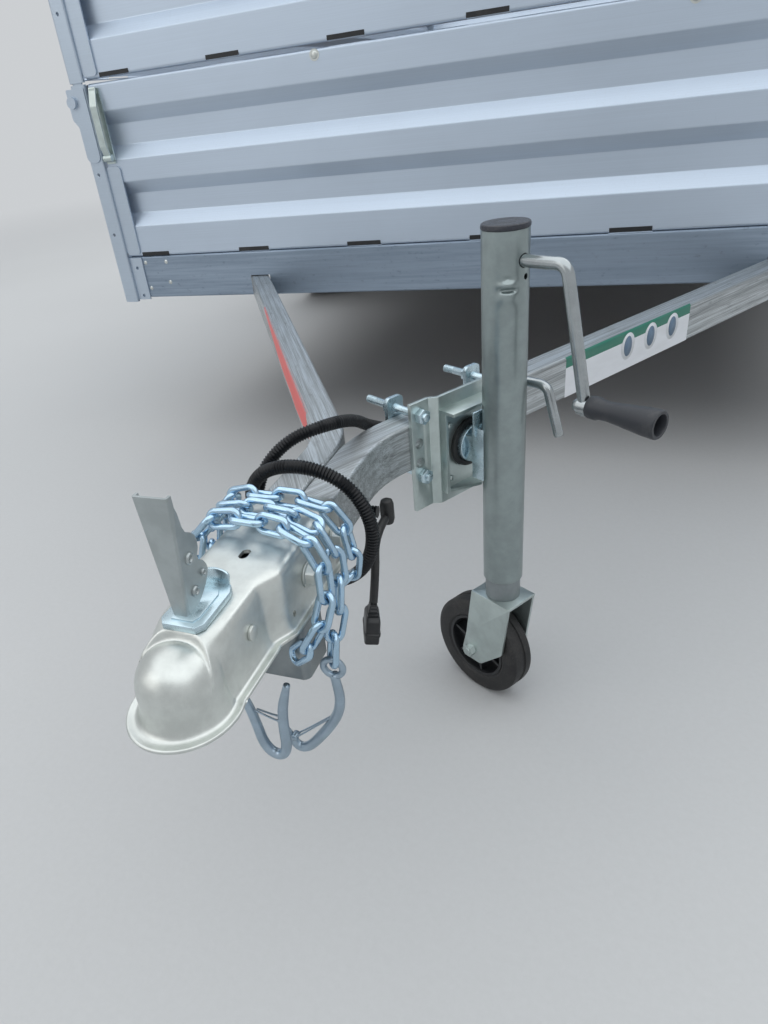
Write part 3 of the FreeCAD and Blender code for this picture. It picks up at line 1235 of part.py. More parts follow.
def loom_plug():
    """Flat four-way plug at the cable's end."""
    end, before = V(*CABLE_ROUTE[-1]), V(*CABLE_ROUTE[-2])
    along = (end - before).normalize()
    body = Part.makeBox(PLUG_W, 16, PLUG_L, V(-PLUG_W / 2, -8, 0))
    body = body.makeFillet(4, [e for e in body.Edges if abs(e.Length - PLUG_L) < 0.01])
    body.Placement = FreeCAD.Placement(end, FreeCAD.Rotation(V(0, 0, 1), along))
    return body


def build():
    """Makes and writes every piece."""
    tube = drawbar()
    save("drawbar_right", tube.copy())
    save("drawbar_left", mirrored(tube))
    save("front_beam", front_beam())
    save("rear_beam", cross_beam(True))
    rail = side_rail()
    save("side_rails", group([rail, mirrored(rail)]))
    save("cross_members", cross_members())
    save("floor_panel", floor_panel())

    front_l = 2 * (HALF_W - BOARD_END)
    side_l = BOX_END - BALL_TO_BOX - 2 * BOARD_END
    rows = (("", LOWER_Z), ("upper_", UPPER_Z))
    for prefix, z in rows:
        save(prefix + "front_board", at_front(board(front_l, z, True)))
        side = at_side(board(side_l, z, True))
        save(prefix + "side_board_right", side.copy())
        save(prefix + "side_board_left", mirrored(side))
    save("tailgate_board", lower_gate())
    save("upper_tailgate", upper_gate())

    save("corner_posts", group(corners(lower_post())))
    uppers = corners(upper_post())
    plate = pivot_plate()
    uppers[2] = joined([uppers[2], plate])
    uppers[3] = joined([uppers[3], mirrored(plate)])
    save("upper_posts", group(uppers))

    strips = []
    for prefix, z in rows:
        z0, z1 = strip_heights(z)
        strip = end_strip(POST_FACE, z0, z1)
        side_strip = to_side(strip)
        strips += [strip, mirrored(strip)] + corners(side_strip)
    save("end_strips", group(strips))
    latches, gate_latches, keepers, upper_latches = [], [], [], []
    middle = V(0, (BALL_TO_BOX + BOX_END) / 2, 0)
    for level, (prefix, z) in enumerate(rows):
        top = z + BOARD_H - 4
        one = latch(POST_FACE, top)
        latches += [one, mirrored(one)]
        other = latch(POST_FACE + GATE_GAP + 1, top).mirror(middle, V(0, 1, 0))
        (upper_latches if level else gate_latches).extend([other, mirrored(other)])
        keepers += corners(keeper(z + BOARD_H - 6))
    save("front_latches", group(latches))
    save("tailgate_latches", group(gate_latches))
    save("latch_keepers", group(keepers))
    save("tailgate_hinges", tailgate_hinges())
    save("tailgate_straps", tailgate_straps())

    save("coupler_shell", coupler_shell())
    save("coupler_bolts", coupler_bolts())
    save("coupler_cap", coupler_cap())
    save("coupler_lever", coupler_lever())
    save("ball_clamp", ball_clamp())
    save("chain_plate", chain_plate())
    rear_links, rear_end = chain(REAR_CHAIN, V(-1, 0, 0), REAR_TWIST)
    front_links, front_end = chain(FRONT_CHAIN, V(1, 0, 0), FRONT_TWIST)
    save("safety_chains", group(rear_links + front_links))
    save("chain_hooks", group([chain_hook(rear_end, REAR_HOOK), chain_hook(front_end, FRONT_HOOK)]))

    for name, piece in (("jack_mount", mount_plate()), ("jack_clamps", jack_clamps()),
                        ("jack_swivel", jack_swivel()), ("pull_pin", pull_pin()), ("jack_tube", jack_tube()),
                        ("jack_cap", jack_cap()), ("jack_crank", jack_crank()), ("crank_grip", crank_grip()),
                        ("jack_leg", jack_leg()), ("jack_fork", jack_fork()), ("jockey_tyre", jockey_tyre()),
                        ("jockey_core", jockey_core())):
        save(name, by_jack(piece))

    save("axle_beam", axle_beam())
    for name, piece in (("road_tyre", road_tyre()), ("road_rim", road_rim())):
        save(name + "_right", piece.copy())
        save(name + "_left", mirrored(piece))
    for name, piece in (("axle_arms", axle_arm()), ("mudguards", mudguard()), ("lamp_housings", lamp_housing()),
                        ("lamp_lenses", lamp_lens())):
        save(name, group([piece, mirrored(piece)]))
    save("plate_holder", plate_holder())

    save("loom_conduit", cord(CONDUIT_ROUTE, CONDUIT_R))
    save("loom_cable", cord(CABLE_ROUTE, CABLE_R))
    save("loom_joint", loom_joint())
    save("loom_plug", loom_plug())


build()
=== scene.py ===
# %% [markdown]
# # A galvanised box trailer, parked on its jack
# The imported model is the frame: every solid already stands where it belongs. This lesson gives each of
# them a finish, and builds the pieces that a solid model only hints at: the pressed coupler, the welded
# chain, the ribbed loom, the tyre treads. A piece of ours sits in metres, exactly where the solid is.

# %% Load the frame
import json
import math
import random

import bmesh
import bpy
import numpy as np
from mathutils import Matrix, Quaternion, Vector


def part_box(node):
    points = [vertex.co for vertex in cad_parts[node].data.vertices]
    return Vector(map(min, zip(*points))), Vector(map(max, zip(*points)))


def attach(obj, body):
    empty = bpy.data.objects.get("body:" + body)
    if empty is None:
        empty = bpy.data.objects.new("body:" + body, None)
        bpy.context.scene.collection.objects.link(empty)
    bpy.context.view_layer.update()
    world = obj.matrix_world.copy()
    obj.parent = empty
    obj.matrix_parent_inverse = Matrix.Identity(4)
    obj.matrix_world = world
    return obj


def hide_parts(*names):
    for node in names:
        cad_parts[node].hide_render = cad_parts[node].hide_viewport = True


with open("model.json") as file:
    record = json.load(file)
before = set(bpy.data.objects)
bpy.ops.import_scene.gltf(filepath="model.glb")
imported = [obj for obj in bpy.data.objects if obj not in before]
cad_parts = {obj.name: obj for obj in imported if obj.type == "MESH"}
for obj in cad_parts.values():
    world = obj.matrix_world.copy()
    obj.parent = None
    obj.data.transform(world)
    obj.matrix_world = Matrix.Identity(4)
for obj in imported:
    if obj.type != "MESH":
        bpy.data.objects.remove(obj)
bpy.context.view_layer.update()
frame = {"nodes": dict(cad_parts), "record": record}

NODES = frame["nodes"]
BODY_OF = {node: body for body, members in frame["record"]["behaviour"]["bodies"].items() for node in members}

# %% [markdown]
# Drawings of a trailer count from the tow ball, because everything forward of the box is set out from it.
# One helper turns such a drawing point, in millimetres, into a place in the frame. A second does the same
# on the jack's own axes, which are turned with the right drawbar tube.

# %% Places
BALL_Y = -2172.3
SPREAD = math.radians(31.3)
JACK_FROM_APEX, APEX_Y = 177.4, 367.0


def at(x, y, z):
    """A place in metres from millimetres, with y counted back from the tow ball."""
    return Vector((x, y + BALL_Y, z)) / 1000


def by_jack(x, y, z):
    """A place on the jack's own axes: x out from the right tube, y back along it."""
    c, s = math.cos(SPREAD), math.sin(SPREAD)
    return at(JACK_FROM_APEX * s + x * c + y * s, APEX_Y + JACK_FROM_APEX * c - x * s + y * c, z)


def across_jack(y, z, x):
    """A place on the jack's axes, for outlines that are drawn from its side."""
    return by_jack(x, y, z)


def circle(count, radius, a=0.0, b=0.0, tall=None):
    """Points round a circle at (a, b), or round an oval whose other half size is tall."""
    turns = [2 * math.pi * k / count for k in range(count)]
    return [(a + radius * math.cos(t), b + (tall or radius) * math.sin(t)) for t in turns]


def metres(profile):
    """An outline drawn in millimetres, in metres."""
    return [(a / 1000, b / 1000) for a, b in profile]


JACK_WAY = by_jack(1, 0, 0) - by_jack(0, 0, 0)
print("ball at", at(0, 0, 392)[:], "jack foot at", by_jack(95, 0, 0)[:])

# %% [markdown]
# ## The camera
# The camera is in front of the coupler and over it, looking down and to the left, slightly turned. Its lens
# is as wide as a phone's. A small shift puts the middle of the lens where the cropped picture has it.

# %% Camera
YAW, PITCH, ROLL = (math.radians(a) for a in (24.85, 31.52, 7.515))
PICTURE_WIDE, PICTURE_HIGH, FOCAL_PIXELS, FILM = 768, 1024, 721.2, 36.0
MIDDLE_X, MIDDLE_Y = 340.4, 538.7
level = Vector((-math.sin(YAW), math.cos(YAW), 0))
forward = level * math.cos(PITCH) - Vector((0, 0, math.sin(PITCH)))
right = level.cross(Vector((0, 0, 1)))
down = forward.cross(right)
right, down = right * math.cos(ROLL) + down * math.sin(ROLL), down * math.cos(ROLL) - right * math.sin(ROLL)
lens = bpy.data.cameras.new("phone_lens")
lens.sensor_width = FILM
lens.lens = FOCAL_PIXELS / PICTURE_HIGH * FILM
lens.shift_x = (PICTURE_WIDE / 2 - MIDDLE_X) / PICTURE_HIGH
lens.shift_y = (MIDDLE_Y - PICTURE_HIGH / 2) / PICTURE_HIGH
lens.clip_start = 0.02
camera = bpy.data.objects.new("camera", lens)
turn = Matrix((right, -down, -forward)).transposed()
camera.matrix_world = Matrix.Translation((0.3133, -2.5065, 0.7847)) @ turn.to_4x4()
bpy.context.scene.collection.objects.link(camera)
bpy.context.scene.camera = camera
print("focal length", round(lens.lens, 2), "mm")

# %% [markdown]
# ## The wiring loom
# A loom is one fixed length of soft ribbed conduit, wound by hand round the drawbar so that it does not
# drag. A NURBS curve of order three bends the way the conduit does, so its control points are all we set.
# The ribs then follow that same curve.

# %% Cord curves
CONDUIT_ROUTE = [
    (552, 1492, 460), (552, 1434, 460), (546, 1376, 412), (526, 1308, 378), (482, 1216, 378),
    (426.4, 1122.9, 386), (327.7, 960.5, 398), (223.8, 789.6, 402), (124.6, 639.3, 408), (77, 562, 406),
    (31.1, 485.5, 410), (9, 448, 430), (10, 404, 457), (0, 354, 473), (-44, 324, 463), (-75, 300, 424),
    (-72, 284, 370), (-38, 270, 328), (20, 260, 320), (66, 258, 348), (79, 262, 402), (53, 262, 452),
    (0, 261, 469), (-50, 262, 455), (-72, 270, 410), (-58, 304, 370), (-30, 345, 357), (6, 362, 358),
    (44, 362, 358)]
CABLE_ROUTE = [(57, 350, 357), (57, 312, 357), (62, 290, 321), (58, 284, 284)]


def link_in(obj):
    """Puts a new object in the scene."""
    bpy.context.scene.collection.objects.link(obj)
    return obj


def spline(name, route, radius=0.0):
    """A NURBS curve through the air near the route's corners, in metres."""
    curve = bpy.data.curves.new(name, "CURVE")
    curve.dimensions = "3D"
    line = curve.splines.new("NURBS")
    line.points.add(len(route) - 1)
    for point, place in zip(line.points, route):
        point.co = (*at(*place), 1)
    line.order_u = 3
    line.use_endpoint_u = True
    line.resolution_u = 16
    curve.bevel_depth = radius
    curve.bevel_resolution = 4
    curve.use_fill_caps = True
    return link_in(bpy.data.objects.new(name, curve))


def read_line(curve_object):
    """Points along a curve that has no thickness."""
    mesh = bpy.data.meshes.new_from_object(curve_object)
    points = np.array([v.co for v in mesh.vertices])
    bpy.data.meshes.remove(mesh)
    return points


def spaced(points, step):
    """The same line in equal steps."""
    points = np.asarray(points, float)
    run = np.concatenate([[0], np.cumsum(np.linalg.norm(np.diff(points, axis=0), axis=1))])
    count = max(2, round(run[-1] / step) + 1)
    where = np.linspace(0, run[-1], count)
    return np.stack([np.interp(where, run, points[:, k]) for k in range(3)], 1), run[-1]


conduit_line = read_line(spline("conduit_line", CONDUIT_ROUTE))
cable = spline("loom_cable_piece", CABLE_ROUTE, 0.005)
print("conduit", round(spaced(conduit_line, 0.01)[1], 3), "m")

# %% [markdown]
# ## Making meshes
# Most pressed, bent and turned parts are rows of points joined in a grid, so one loft function does a lot
# of work. Bars and hoses are lofts too: a ring is carried along a line without twisting.

# %% Loft helpers
def mesh_piece(name, vertices, faces, smooth=True):
    """A mesh object at the origin from plain lists."""
    mesh = bpy.data.meshes.new(name)
    mesh.from_pydata([tuple(v) for v in vertices], [], [tuple(f) for f in faces])
    mesh.update()
    if smooth:
        mesh.shade_smooth()
    return link_in(bpy.data.objects.new(name, mesh))


def tidy(piece, angle=None, outward=True):
    """Merges doubles, turns faces outwards and keeps edges sharper than the angle crisp."""
    form = bmesh.new()
    form.from_mesh(piece.data)
    bmesh.ops.remove_doubles(form, verts=form.verts, dist=2e-6)
    if outward:
        bmesh.ops.recalc_face_normals(form, faces=form.faces)
    form.to_mesh(piece.data)
    form.free()
    if angle is not None:
        piece.data.shade_smooth()
        piece.data.set_sharp_from_angle(angle=math.radians(angle))
    return piece


def loft(name, rings, around=True, ends=True):
    """Faces between rows of points; around closes each row, ends fills the first and last."""
    rings = [[Vector(p) for p in ring] for ring in rings]
    n, m = len(rings), len(rings[0])
    vertices = [p for ring in rings for p in ring]
    faces = []
    for i in range(n - 1):
        for j in range(m if around else m - 1):
            k = (j + 1) % m
            faces.append((i * m + j, i * m + k, (i + 1) * m + k, (i + 1) * m + j))
    if ends and around:
        faces += [tuple(range(m))[::-1], tuple(range((n - 1) * m, n * m))]
    return mesh_piece(name, vertices, faces)


def carried(points):
    """Tangent and two cross directions at each point of a line, without twist."""
    points = [Vector(p) for p in points]
    tangents = [(points[min(i + 1, len(points) - 1)] - points[max(i - 1, 0)]).normalized()
                for i in range(len(points))]
    side = tangents[0].orthogonal().normalized()
    frames = []
    for t in tangents:
        side = (side - t * side.dot(t)).normalized()
        frames.append((t, side, t.cross(side)))
    return frames


def bar(name, points, radius, sides=16):
    """A round bar along points; radius is a number or one for each point."""
    radii = [radius] * len(points) if isinstance(radius, float) else radius
    return loft(name, [[Vector(p) + u * a + v * b for a, b in circle(sides, r)]
                       for p, r, (_, u, v) in zip(points, radii, carried(points))])


def turned(name, profile, centre, axis, sides):
    """A shape turned about an axis from (along, radius) points."""
    axis = Vector(axis).normalized()
    u = axis.orthogonal().normalized()
    v = axis.cross(u)
    centre = Vector(centre)
    rings = [[centre + axis * a + u * (r * c) + v * (r * s) for a, r in profile]
             for c, s in circle(sides, 1.0)]
    return tidy(loft(name, rings + rings[:1], around=False, ends=False))


def own(piece, material, *nodes, mate=None, slot_of=None):
    """Gives a piece its material and body; it stands for the nodes, or only rides with its mate."""
    piece.data.materials.clear()
    piece.data.materials.append(material)
    mate = mate or nodes[0]
    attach(piece, BODY_OF[mate])
    if nodes:
        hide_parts(*nodes)
    return piece


print("loft test:", len(spaced(conduit_line, 0.0024)[0]), "ribs on the conduit")

# %% [markdown]
# ## Finishes
# A material can be drawn as boxes and lines, but a sum is easier to read as a sum. The small class below
# holds one output socket. Adding or multiplying two of them adds the Math node, so shader maths is
# plain Python. Every other node comes from one method.

# %% Shader wires
class Wire:
    """One output of a material's tree, usable in sums."""

    def __init__(self, finish, socket):
        self.finish = finish
        self.socket = socket

    def maths(self, operation, *values):
        """Adds a Math node on these values."""
        return self.finish.node("Math", {"operation": operation}, dict(enumerate(values)))

    def __add__(self, other):
        return self.maths("ADD", self, other)

    def __sub__(self, other):
        return self.maths("SUBTRACT", self, other)

    def __rsub__(self, other):
        return self.maths("SUBTRACT", other, self)

    def __mul__(self, other):
        return self.maths("MULTIPLY", self, other)

    __radd__ = __add__
    __rmul__ = __mul__

    def sine(self):
        """The sine of this wire."""
        return self.maths("SINE", self)

    def between(self, low, high):
        """0 below low, 1 above high, smooth in the middle."""
        settings = {"interpolation_type": "SMOOTHSTEP"}
        return self.finish.node("MapRange", settings, {0: self, 1: low, 2: high, 3: 0.0, 4: 1.0})


class Finish:
    """A material being written: its shader and the wires that feed it."""

    def __init__(self, name, **fixed):
        self.material = bpy.data.materials.new(name)
        self.material.use_nodes = True
        self.tree = self.material.node_tree
        self.shader = self.tree.nodes["Principled BSDF"]
        for key, value in fixed.items():
            self.shader.inputs[key.replace("_", " ")].default_value = value

    def node(self, kind, settings, values, out=0):
        """Adds a node: settings first, then the values or wires of its sockets."""
        made = self.tree.nodes.new("ShaderNode" + kind)
        for key, value in settings.items():
            setattr(made, key, value)
        for key, value in values.items():
            if isinstance(value, Wire):
                self.tree.links.new(value.socket, made.inputs[key])
            else:
                made.inputs[key].default_value = value
        return Wire(self, made.outputs[out])

    def place(self):
        """Where a point is on the object."""
        return self.node("TexCoord", {}, {}, "Object")

    def axis(self, vector, letter):
        """One component of a vector."""
        return self.node("SeparateXYZ", {}, {0: vector}, letter)

    def grain(self, size, turn=0.0, detail=4.0, rough=0.55, shift=0.0):
        """Noise about 0.5; size is its grain in millimetres, all round or on each axis turned about Z."""
        sizes = size if isinstance(size, tuple) else (size,) * 3
        values = {0: self.place(), 1: (shift,) * 3, 2: (0, 0, turn), 3: tuple(s / 1000 for s in sizes)}
        spot = self.node("Mapping", {"vector_type": "TEXTURE"}, values)
        return self.node("TexNoise", {}, {"Vector": spot, "Scale": 1.0, "Detail": detail, "Roughness": rough})

    def mix(self, share, first, second):
        """First colour at 0, second at 1."""
        first, second = ((*tone, 1) if isinstance(tone, tuple) else tone for tone in (first, second))
        return self.node("Mix", {"data_type": "RGBA"}, {0: share, 6: first, 7: second}, 2)

    def facing_up(self):
        """How far the surface looks upwards: 1 on a floor, -1 on a ceiling."""
        return self.axis(self.node("NewGeometry", {}, {}, "Normal"), "Z")

    def bump(self, height, millimetres):
        """Raises the surface by a wire of heights."""
        return self.node("Bump", {}, {"Strength": 1.0, "Distance": millimetres / 1000, "Height": height})

    def feed(self, **wires):
        """Links wires to the shader's sockets and returns the material."""
        for key, wire in wires.items():
            self.tree.links.new(wire.socket, self.shader.inputs[key.replace("_", " ")])
        return self.material


def scaled(tint, factor):
    """A tint made darker or lighter."""
    return tuple(min(1, c * factor) for c in tint)


print("wire class ready")

# %% [markdown]
# ### Galvanised steel
# Hot-dip zinc dulls to a soft grey. A drawn tube also keeps the long streaks of the mill along its run, so
# the grain is stretched along the tube and the two tubes need it turned two ways. Bare zinc is a metal,
# so it stays metallic and the streaks only move its colour and its roughness.

# %% Galvanised tube
def streaked(name, turn, light, dark, streak=(1.1, 95, 1.1), metallic=0.85):
    """Zinc with mill streaks along a run turned about Z."""
    f = Finish(name, Metallic=metallic)
    fine = f.grain(streak, turn, detail=5, rough=0.65)
    broad = f.grain(tuple(s * 7 for s in streak), turn, detail=3, shift=0.3)
    dirt = f.grain((14, 40, 9), turn, detail=5, rough=0.7, shift=0.7)
    lines = (fine * 0.62 + broad * 0.38).between(0.36, 0.66)
    clean = f.mix(lines, dark, light)
    soiled = dirt.between(0.56, 0.78)
    colour = f.mix(soiled * 0.5, clean, scaled(dark, 0.42))
    rough = 0.34 + 0.22 * (1 - lines) + 0.2 * soiled
    return f.feed(Base_Color=colour, Roughness=rough, Normal=f.bump(fine, 0.25))


TUBE_TONES = (0.66, 0.70, 0.72), (0.27, 0.285, 0.29)
TUBE_RIGHT = streaked("tube_zinc_right", -SPREAD, *TUBE_TONES)
TUBE_LEFT = streaked("tube_zinc_left", SPREAD, *TUBE_TONES)
FRAME_ZINC = streaked("frame_zinc", 0.0, (0.33, 0.40, 0.49), (0.25, 0.31, 0.385), (190, 6, 6), 0.78)
print("tubes:", TUBE_RIGHT.name, TUBE_LEFT.name)

# %% [markdown]
# ### Pre-galvanised boards
# The boards are pressed from zinc-coated coil, smooth and cool in colour. Faint rolling lines run their
# length, and rain leaves a little dust on each surface that looks up.

# %% Board sheet
def coil_sheet(name, long_axis, tint=(0.55, 0.63, 0.73)):
    """Smooth zinc-coated sheet, its rolling lines along X (0) or Y (1)."""
    f = Finish(name, Metallic=0.72)
    size = (420, 1.6, 1.6) if long_axis == 0 else (1.6, 420, 1.6)
    lines = f.grain(size, detail=3)
    cloud = f.grain((260, 260, 120), detail=3, shift=0.4)
    tone = (lines * 0.5 + cloud * 0.5).between(0.2, 0.8)
    clean = f.mix(tone, scaled(tint, 0.93), scaled(tint, 1.04))
    up = f.facing_up().between(0.2, 0.8)
    specks = f.grain(4, detail=6, rough=0.75, shift=0.2)
    dust = up * specks.between(0.5, 0.78) * 0.22
    marks = f.grain((14, 14, 30), detail=6, rough=0.7, shift=0.9).between(0.66, 0.76) * 0.16
    colour = f.mix(dust, clean, (0.34, 0.33, 0.31))
    colour = f.mix(marks, colour, scaled(tint, 0.7))
    rough = 0.40 + 0.06 * cloud + 0.2 * dust + 0.08 * marks
    return f.feed(Base_Color=colour, Roughness=rough, Normal=f.bump(lines, 0.02))


BOARD_X = coil_sheet("board_sheet_across", 0)
BOARD_Y = coil_sheet("board_sheet_along", 1)
POST_ZINC = coil_sheet("post_sheet", 0, (0.50, 0.575, 0.66))
print("boards:", BOARD_X.name)

# %% [markdown]
# ### Plated parts
# Small pressings are plated, not dipped. The coupler has a pale satin coat, the chain and the latch seat a
# bright one with a blue cast. Both carry pinhead stains where handling has broken the coat.

# %% Plating
def plated(name, tint, rough, metallic, stain=0.35, grain_mm=0.10):
    """Plated steel: fine grain, soft clouds and a few small stains."""
    f = Finish(name, Metallic=metallic)
    cloud = f.grain(22, detail=5, rough=0.6)
    fine = f.grain(1.1, detail=3)
    spots = f.grain(4.5, detail=6, rough=0.8, shift=0.5).between(0.66, 0.74)
    clean = f.mix(cloud.between(0.3, 0.7), scaled(tint, 0.9), scaled(tint, 1.06))
    colour = f.mix(spots * stain, clean, (0.25, 0.22, 0.18))
    roughness = rough + 0.14 * (cloud - 0.5) + 0.1 * fine + 0.25 * spots
    return f.feed(Base_Color=colour, Roughness=roughness, Normal=f.bump(fine, grain_mm))


SATIN = plated("satin_zinc", (0.63, 0.655, 0.63), 0.30, 0.88)
BRIGHT_BLUE = plated("blue_zinc", (0.44, 0.61, 0.76), 0.17, 0.96, 0.2, 0.03)
PALE_BLUE = plated("pale_blue_zinc", (0.55, 0.68, 0.74), 0.23, 0.93, 0.25, 0.04)
MOUNT_ZINC = plated("mount_zinc", (0.52, 0.59, 0.575), 0.28, 0.88, 0.3, 0.06)
JACK_ZINC = plated("jack_zinc", (0.315, 0.365, 0.365), 0.27, 0.88, 0.3, 0.05)
LEG_ZINC = plated("leg_zinc", (0.29, 0.32, 0.33), 0.38, 0.75)
FORGED = plated("forged_steel", (0.37, 0.46, 0.54), 0.27, 0.92, 0.3)
ROD_STEEL = plated("rod_steel", (0.40, 0.43, 0.44), 0.19, 0.97, 0.3, 0.03)
LEVER_ZINC = plated("lever_zinc", (0.42, 0.46, 0.465), 0.32, 0.9, 0.3, 0.05)
print("plated finishes: 9")

# %% [markdown]
# ### Rubber, plastic, paint and plywood
# These are not metals. What tells them apart is gloss: tyre rubber is matt and holds dust, the conduit has
# a low sheen, wheel paint a clear one. The floor is resin-faced plywood with a wire-mesh grip pressed in.

# %% Dull finishes
def rubber(name, tint, dust, rough):
    """Rubber with dust in its pores."""
    f = Finish(name, Metallic=0.0)
    pores = f.grain(2.4, detail=6, rough=0.7)
    cloud = f.grain(34, detail=5, rough=0.65, shift=0.6)
    dusty = (pores * 0.5 + cloud * 0.5).between(0.42, 0.72) * dust
    colour = f.mix(dusty, tint, (0.23, 0.21, 0.185))
    return f.feed(Base_Color=colour, Roughness=rough + 0.25 * dusty + 0.08 * pores, Normal=f.bump(pores, 0.2))


def moulded(name, tint, rough, dust, coat=0.0, pit=0.06, gloss=0.5):
    """Moulded plastic or paint with a faint orange peel; pit is its depth in millimetres."""
    f = Finish(name, Metallic=0.0, Coat_Weight=coat, Coat_Roughness=0.12, Specular_IOR_Level=gloss)
    peel = f.grain(3.0, detail=3)
    cloud = f.grain(40, detail=5, rough=0.65, shift=0.4)
    dusty = cloud.between(0.5, 0.8) * dust
    colour = f.mix(dusty, tint, (0.3, 0.28, 0.25))
    return f.feed(Base_Color=colour, Roughness=rough + 0.3 * dusty + 0.06 * peel, Normal=f.bump(peel, pit))


def grip_plywood(name):
    """Dark resin-faced plywood with its mesh grip, and bare plies on the edges."""
    f = Finish(name, Metallic=0.0)
    spot = f.place()
    x, y, z = (f.axis(spot, letter) for letter in "XYZ")
    mesh = (((x + y) * 900.0).sine() * ((x - y) * 900.0).sine()).between(-0.2, 0.25)
    cloud = f.grain((120, 220, 20), detail=6, rough=0.7)
    top = f.mix(cloud.between(0.35, 0.7), (0.055, 0.032, 0.018), (0.13, 0.085, 0.055))
    plies = (z * 2600.0).sine().between(-0.3, 0.3)
    edge = f.mix(plies, (0.36, 0.23, 0.13), (0.56, 0.42, 0.27))
    up = f.facing_up()
    flat = up.maths("ABSOLUTE", up).between(0.3, 0.7)
    colour = f.mix(flat, edge, top)
    return f.feed(Base_Color=colour, Roughness=0.36 + 0.3 * cloud, Normal=f.bump(mesh * flat, 0.5))


TYRE = rubber("tyre_rubber", (0.022, 0.022, 0.023), 0.45, 0.62)
JOCKEY_RUBBER = rubber("jockey_rubber", (0.010, 0.010, 0.011), 0.16, 0.48)
BLOCK_RUBBER = rubber("cable_rubber", (0.012, 0.013, 0.014), 0.12, 0.42)
GRIP_PLASTIC = moulded("grip_plastic", (0.030, 0.033, 0.040), 0.42, 0.25)
BLACK_PLASTIC = moulded("black_plastic", (0.013, 0.014, 0.016), 0.34, 0.1)
CAP_PLASTIC = moulded("cap_plastic", (0.026, 0.029, 0.040), 0.34, 0.10, pit=1.4)
CONDUIT_PLASTIC = moulded("conduit_plastic", (0.004, 0.005, 0.007), 0.3, 0.02, gloss=0.3)
GUARD_STEEL = moulded("guard_paint", (0.03, 0.03, 0.032), 0.34, 0.3, 0.3)
WHEEL_PAINT = moulded("wheel_paint", (0.46, 0.47, 0.48), 0.3, 0.3, 0.4)
PLYWOOD = grip_plywood("grip_plywood")
print("dull finishes: 10")

# %% Lens and label finishes
def lens_plastic(name, tint):
    """Red lens with fine prisms moulded inside."""
    f = Finish(name, Metallic=0.0, Roughness=0.14, Coat_Weight=0.6, Coat_Roughness=0.05)
    spot = f.place()
    prisms = (f.axis(spot, "X") * 1250.0).sine() * (f.axis(spot, "Z") * 1250.0).sine()
    colour = f.mix(prisms.between(-0.8, 0.8), scaled(tint, 0.45), tint)
    return f.feed(Base_Color=colour, Normal=f.bump(prisms, 0.25))


def scuffed_film(name, tint, under=(0.45, 0.47, 0.48), worn=0.25):
    """Printed film or paint on the zinc, scuffed in places down to the metal."""
    f = Finish(name, Metallic=0.0)
    fine = f.grain((2.2, 18, 2.2), -SPREAD, detail=6, rough=0.7)
    cloud = f.grain((30, 60, 16), -SPREAD, detail=4, shift=0.4)
    scuff = (fine * 0.7 + cloud * 0.3).between(0.6, 0.74) * worn
    colour = f.mix(scuff, tint, under)
    colour = f.mix(cloud.between(0.3, 0.8) * 0.12, colour, (0.35, 0.33, 0.3))
    return f.feed(Base_Color=colour, Roughness=0.3 + 0.2 * cloud)


RED_LENS = lens_plastic("red_lens", (0.55, 0.02, 0.02))
LABEL_GREEN = scuffed_film("label_green", (0.012, 0.19, 0.125))
LABEL_WHITE = scuffed_film("label_white", (0.86, 0.88, 0.91), worn=0.12)
RED_STREAK = scuffed_film("red_streak", (0.86, 0.085, 0.075), (0.60, 0.30, 0.29), 0.5)
OVAL_TONE = scuffed_film("label_oval", (0.13, 0.21, 0.31))
print("lens and film finishes: 5")

# %% [markdown]
# ## Every solid gets its finish
# The solids that already have the right shape keep it and only take a material. A table of finishes, each
# with its nodes, is the plainest way to say which.

# %% Finish of each node
FINISHES = (
    (TUBE_RIGHT, "drawbar_right"),
    (TUBE_LEFT, "drawbar_left"),
    (FRAME_ZINC, "front_beam rear_beam side_rails cross_members axle_beam axle_arms tailgate_hinges "
                 "tailgate_straps"),
    (BOARD_X, "front_board upper_front_board tailgate_board upper_tailgate"),
    (BOARD_Y, "side_board_left side_board_right upper_side_board_left upper_side_board_right"),
    (POST_ZINC, "corner_posts upper_posts end_strips latch_keepers"),
    (MOUNT_ZINC, "front_latches tailgate_latches jack_mount"),
    (PLYWOOD, "floor_panel"),
    (SATIN, "coupler_shell coupler_bolts"),
    (PALE_BLUE, "coupler_cap jack_clamps jack_swivel"),
    (ROD_STEEL, "coupler_lever jack_crank pull_pin"),
    (FORGED, "ball_clamp chain_hooks"),
    (LEG_ZINC, "chain_plate jack_leg jack_fork"),
    (BRIGHT_BLUE, "safety_chains"),
    (JACK_ZINC, "jack_tube"),
    (CAP_PLASTIC, "jack_cap"),
    (GRIP_PLASTIC, "crank_grip"),
    (JOCKEY_RUBBER, "jockey_tyre"),
    (BLACK_PLASTIC, "jockey_core lamp_housings plate_holder loom_joint loom_plug"),
    (TYRE, "road_tyre_right road_tyre_left"),
    (WHEEL_PAINT, "road_rim_right road_rim_left"),
    (GUARD_STEEL, "mudguards"),
    (RED_LENS, "lamp_lenses"),
    (CONDUIT_PLASTIC, "loom_conduit"),
    (BLOCK_RUBBER, "loom_cable"))
NODE_FINISH = {node: finish for finish, nodes in FINISHES for node in nodes.split()}
for node, solid in NODES.items():
    finish = NODE_FINISH[node]
    if not solid.material_slots:
        solid.data.materials.append(finish)
    for slot in solid.material_slots:
        slot.material = finish
print("finished nodes:", len(NODES), "finishes:", len(FINISHES))

# %% [markdown]
# ## The pressed coupler
# A coupler is one sheet of steel drawn over a ball-shaped punch: a dome for the tow ball, a flat deck behind
# it, walls that open out to cover the tubes, and a flange all round that keeps it stiff. Any point of the
# upper surface is the higher of the dome and the deck, so the crease between them comes by itself. Columns
# of points climb from the flange to the ridge, and Solidify gives the sheet its thickness.

